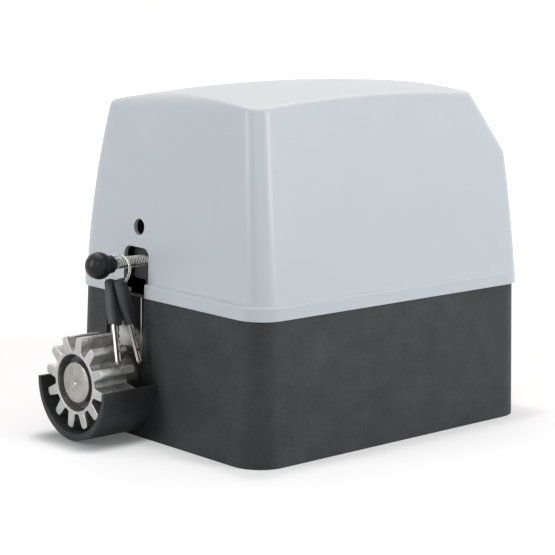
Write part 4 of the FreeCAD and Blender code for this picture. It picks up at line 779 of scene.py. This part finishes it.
class GATEMOTOR_OT_stage(bpy.types.Operator):
    """Pale floor, soft light and the camera"""

    bl_idname = "gate_motor.stage"
    bl_label = "Stage"

    def execute(self, context):
        scene = context.scene
        scene.view_settings.view_transform = "Standard"
        self.make_floor()
        self.make_world(scene)
        self.make_lights(scene)
        self.make_camera(scene)
        return {"FINISHED"}

    def make_floor(self):
        """A pale seamless floor that turns white to the eye but keeps the shadow, deepened at the feet by
        painted contact shadow.
        """
        material, tree, shader, place = start("paper_backdrop_matt", "#B1B4B6", 0.9)
        fibre = add(tree, "ShaderNodeTexNoise", {"Scale": scale_of(60)}, {"Vector": place})
        shift_colour(tree, shader, fibre.outputs["Fac"], "#AFB2B4", "#B3B6B8")
        away = self.outside(tree, place, CAD_BOX)
        # the round guard stands on the middle half of its width
        low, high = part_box("pinion_guard")
        inward = (high[0] - low[0]) / 4
        foot = ((low[0] + inward, low[1], low[2]), (high[0] - inward, high[1], high[2]))
        past_base = self.outside(tree, place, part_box("base_housing"))
        # the glow dips at the feet of the base and the guard, painting a contact shadow on the floor
        shadow_under_base = self.painted_contact_shadow(tree, past_base, BASE_GLOW)
        shadow_under_guard = self.painted_contact_shadow(tree, self.outside(tree, place, foot), GUARD_GLOW)
        near = add(tree, "ShaderNodeMath", {"operation": "MINIMUM"},
                   {0: shadow_under_base.outputs[0], 1: shadow_under_guard.outputs[0]})
        far = add(tree, "ShaderNodeMapRange",
                  {"From Min": FAR_BEGIN, "From Max": FAR_END, "To Min": 0.0, "To Max": FAR_GLOW},
                  {"Value": away.outputs["Value"]})
        rise = add(tree, "ShaderNodeMath", {"operation": "ADD"},
                   {0: near.outputs[0], 1: far.outputs[0]})
        glow = add(tree, "ShaderNodeEmission", {"Color": (1, 1, 1, 1)}, {"Strength": rise.outputs[0]})
        nothing = add(tree, "ShaderNodeEmission", {"Color": (0, 0, 0, 1), "Strength": 0.0})
        lift = add(tree, "ShaderNodeMixShader",
                   links={0: seen_by_eye(tree), 1: nothing.outputs[0], 2: glow.outputs[0]})
        both = add(tree, "ShaderNodeAddShader", links={0: shader.outputs[0], 1: lift.outputs[0]})
        output = next(n for n in tree.nodes if n.type == "OUTPUT_MATERIAL")
        tree.links.new(both.outputs[0], output.inputs["Surface"])
        bm = bmesh.new()
        bmesh.ops.create_grid(bm, x_segments=1, y_segments=1, size=FLOOR_HALF)
        bmesh.ops.translate(bm, verts=bm.verts, vec=(0, 0, CAD_BOX[0][2] - FLOOR_GAP))
        mesh = bpy.data.meshes.new("floor")
        bm.to_mesh(mesh)
        bm.free()
        mesh.materials.append(material)
        floor = bpy.data.objects.new("floor", mesh)
        bpy.context.scene.collection.objects.link(floor)

    def painted_contact_shadow(self, tree, distance, darkest):
        """The floor's own light, which falls off where the object stands on it: a painted contact shadow.
        """
        return add(tree, "ShaderNodeMapRange",
                   {"From Min": 0.0, "From Max": SHADE_REACH, "To Min": darkest, "To Max": OPEN_GLOW,
                    "interpolation_type": "SMOOTHERSTEP"},
                   {"Value": distance.outputs["Value"]})

    def outside(self, tree, place, box):
        """How far a point of the floor lies outside a box's footprint."""
        low, high = box
        middle = [(a + b) / 2 for a, b in zip(low, high)]
        half = [(b - a) / 2 for a, b in zip(low, high)]
        offset = add(tree, "ShaderNodeVectorMath",
                     {"operation": "SUBTRACT", 1: (middle[0], middle[1], 0)}, {0: place})
        offset = add(tree, "ShaderNodeVectorMath", {"operation": "ABSOLUTE"}, {0: offset.outputs[0]})
        offset = add(tree, "ShaderNodeVectorMath",
                     {"operation": "SUBTRACT", 1: (half[0], half[1], 0)}, {0: offset.outputs[0]})
        offset = add(tree, "ShaderNodeVectorMath", {"operation": "MAXIMUM", 1: (0, 0, 0)},
                     {0: offset.outputs[0]})
        flat = add(tree, "ShaderNodeVectorMath", {"operation": "MULTIPLY", 1: (1, 1, 0)},
                   {0: offset.outputs[0]})
        return add(tree, "ShaderNodeVectorMath", {"operation": "LENGTH"}, {0: flat.outputs[0]})

    def make_world(self, scene):
        """Even light from all round, white where it is seen."""
        world = bpy.data.worlds.new("studio")
        scene.world = world
        world.use_nodes = True
        tree = world.node_tree
        tree.nodes.clear()
        fill = add(tree, "ShaderNodeBackground", {"Color": from_hex("#F6F8FC"), "Strength": 0.06})
        white = add(tree, "ShaderNodeBackground", {"Color": (1, 1, 1, 1), "Strength": 1.0})
        mixed = add(tree, "ShaderNodeMixShader",
                    links={0: seen_by_eye(tree), 1: fill.outputs[0], 2: white.outputs[0]})
        add(tree, "ShaderNodeOutputWorld", links={"Surface": mixed.outputs[0]})

    def make_lights(self, scene):
        """Soft boxes: a warm one above, one square to each near side, and a weak one by the camera."""
        # each box's name, place, width, height, power in watts and colour
        boxes = (
            ("light_above", (-0.3, 0.4, 1.6), 1.7, 1.7, 21.0, "#FFF0EA"),
            ("light_left", (-0.4, -1.72, 0.75), 0.6, 1.2, 17.0, "#FFFFFF"),
            ("light_right", (1.65, 0.65, 0.75), 0.5, 1.2, 22.0, "#FFFFFF"),
            ("light_front", (1.2, -1.3, 1.0), 0.8, 0.8, 4.0, "#FFFFFF"),
        )
        for name, place, width, height, power, colour in boxes:
            lamp = bpy.data.lights.new(name, "AREA")
            lamp.shape = "RECTANGLE"
            lamp.size = width
            lamp.size_y = height
            lamp.energy = power
            lamp.color = from_hex(colour)[:3]
            holder = bpy.data.objects.new(name, lamp)
            holder.location = place
            aim = Vector(LAMP_TARGET) - Vector(place)
            holder.rotation_euler = aim.to_track_quat("-Z", "Y").to_euler()
            scene.collection.objects.link(holder)

    def make_camera(self, scene):
        """The camera, in front of the pinion's corner and a little above."""
        stand = (0.8692, -0.8160, 0.2975)
        camera = bpy.data.cameras.new("camera")
        camera.sensor_width = 36.0
        camera.lens = 123.6
        camera.clip_start = 0.05
        camera.clip_end = 20.0
        holder = bpy.data.objects.new("camera", camera)
        right = Vector((0.6727, 0.7397, 0.0145))
        back = Vector((0.727, -0.6646, 0.1727))
        up = back.cross(right)
        turn = Matrix((right, up, back)).transposed()
        holder.matrix_world = Matrix.Translation(stand) @ turn.to_4x4()
        scene.collection.objects.link(holder)
        scene.camera = holder


class GATEMOTOR_PT_panel(bpy.types.Panel):
    """The gate motor's pieces and settings"""

    bl_label = "Gate Motor"
    bl_idname = "GATEMOTOR_PT_panel"
    bl_space_type = "VIEW_3D"
    bl_region_type = "UI"
    bl_category = "Gate Motor"

    def draw(self, context):
        layout = self.layout
        for operator in OPERATORS:
            layout.operator(operator.bl_idname)
        for settings in (context.scene.gate_motor_sizes, context.scene.gate_motor_colours):
            for name in settings.bl_rna.properties.keys():
                if name not in ("name", "rna_type"):
                    layout.prop(settings, name)


OPERATORS = (GATEMOTOR_OT_base, GATEMOTOR_OT_cover, GATEMOTOR_OT_drive, GATEMOTOR_OT_gearbox,
             GATEMOTOR_OT_motor, GATEMOTOR_OT_release, GATEMOTOR_OT_keys, GATEMOTOR_OT_controls,
             GATEMOTOR_OT_stage)
CLASSES = (GateMotorSizes, GateMotorColours) + OPERATORS + (GATEMOTOR_PT_panel,)


def register():
    """Adds the classes and their settings to Blender."""
    for cls in CLASSES:
        bpy.utils.register_class(cls)
    bpy.types.Scene.gate_motor_sizes = bpy.props.PointerProperty(type=GateMotorSizes)
    bpy.types.Scene.gate_motor_colours = bpy.props.PointerProperty(type=GateMotorColours)


def unregister():
    """Takes the settings and the classes out again."""
    del bpy.types.Scene.gate_motor_colours
    del bpy.types.Scene.gate_motor_sizes
    for cls in reversed(CLASSES):
        bpy.utils.unregister_class(cls)


def main():
    """Registers the classes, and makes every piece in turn."""
    register()
    bpy.ops.gate_motor.base()
    bpy.ops.gate_motor.cover()
    bpy.ops.gate_motor.drive()
    bpy.ops.gate_motor.gearbox()
    bpy.ops.gate_motor.motor()
    bpy.ops.gate_motor.release()
    bpy.ops.gate_motor.keys()
    bpy.ops.gate_motor.controls()
    bpy.ops.gate_motor.stage()


if __name__ == "__main__":
    main()
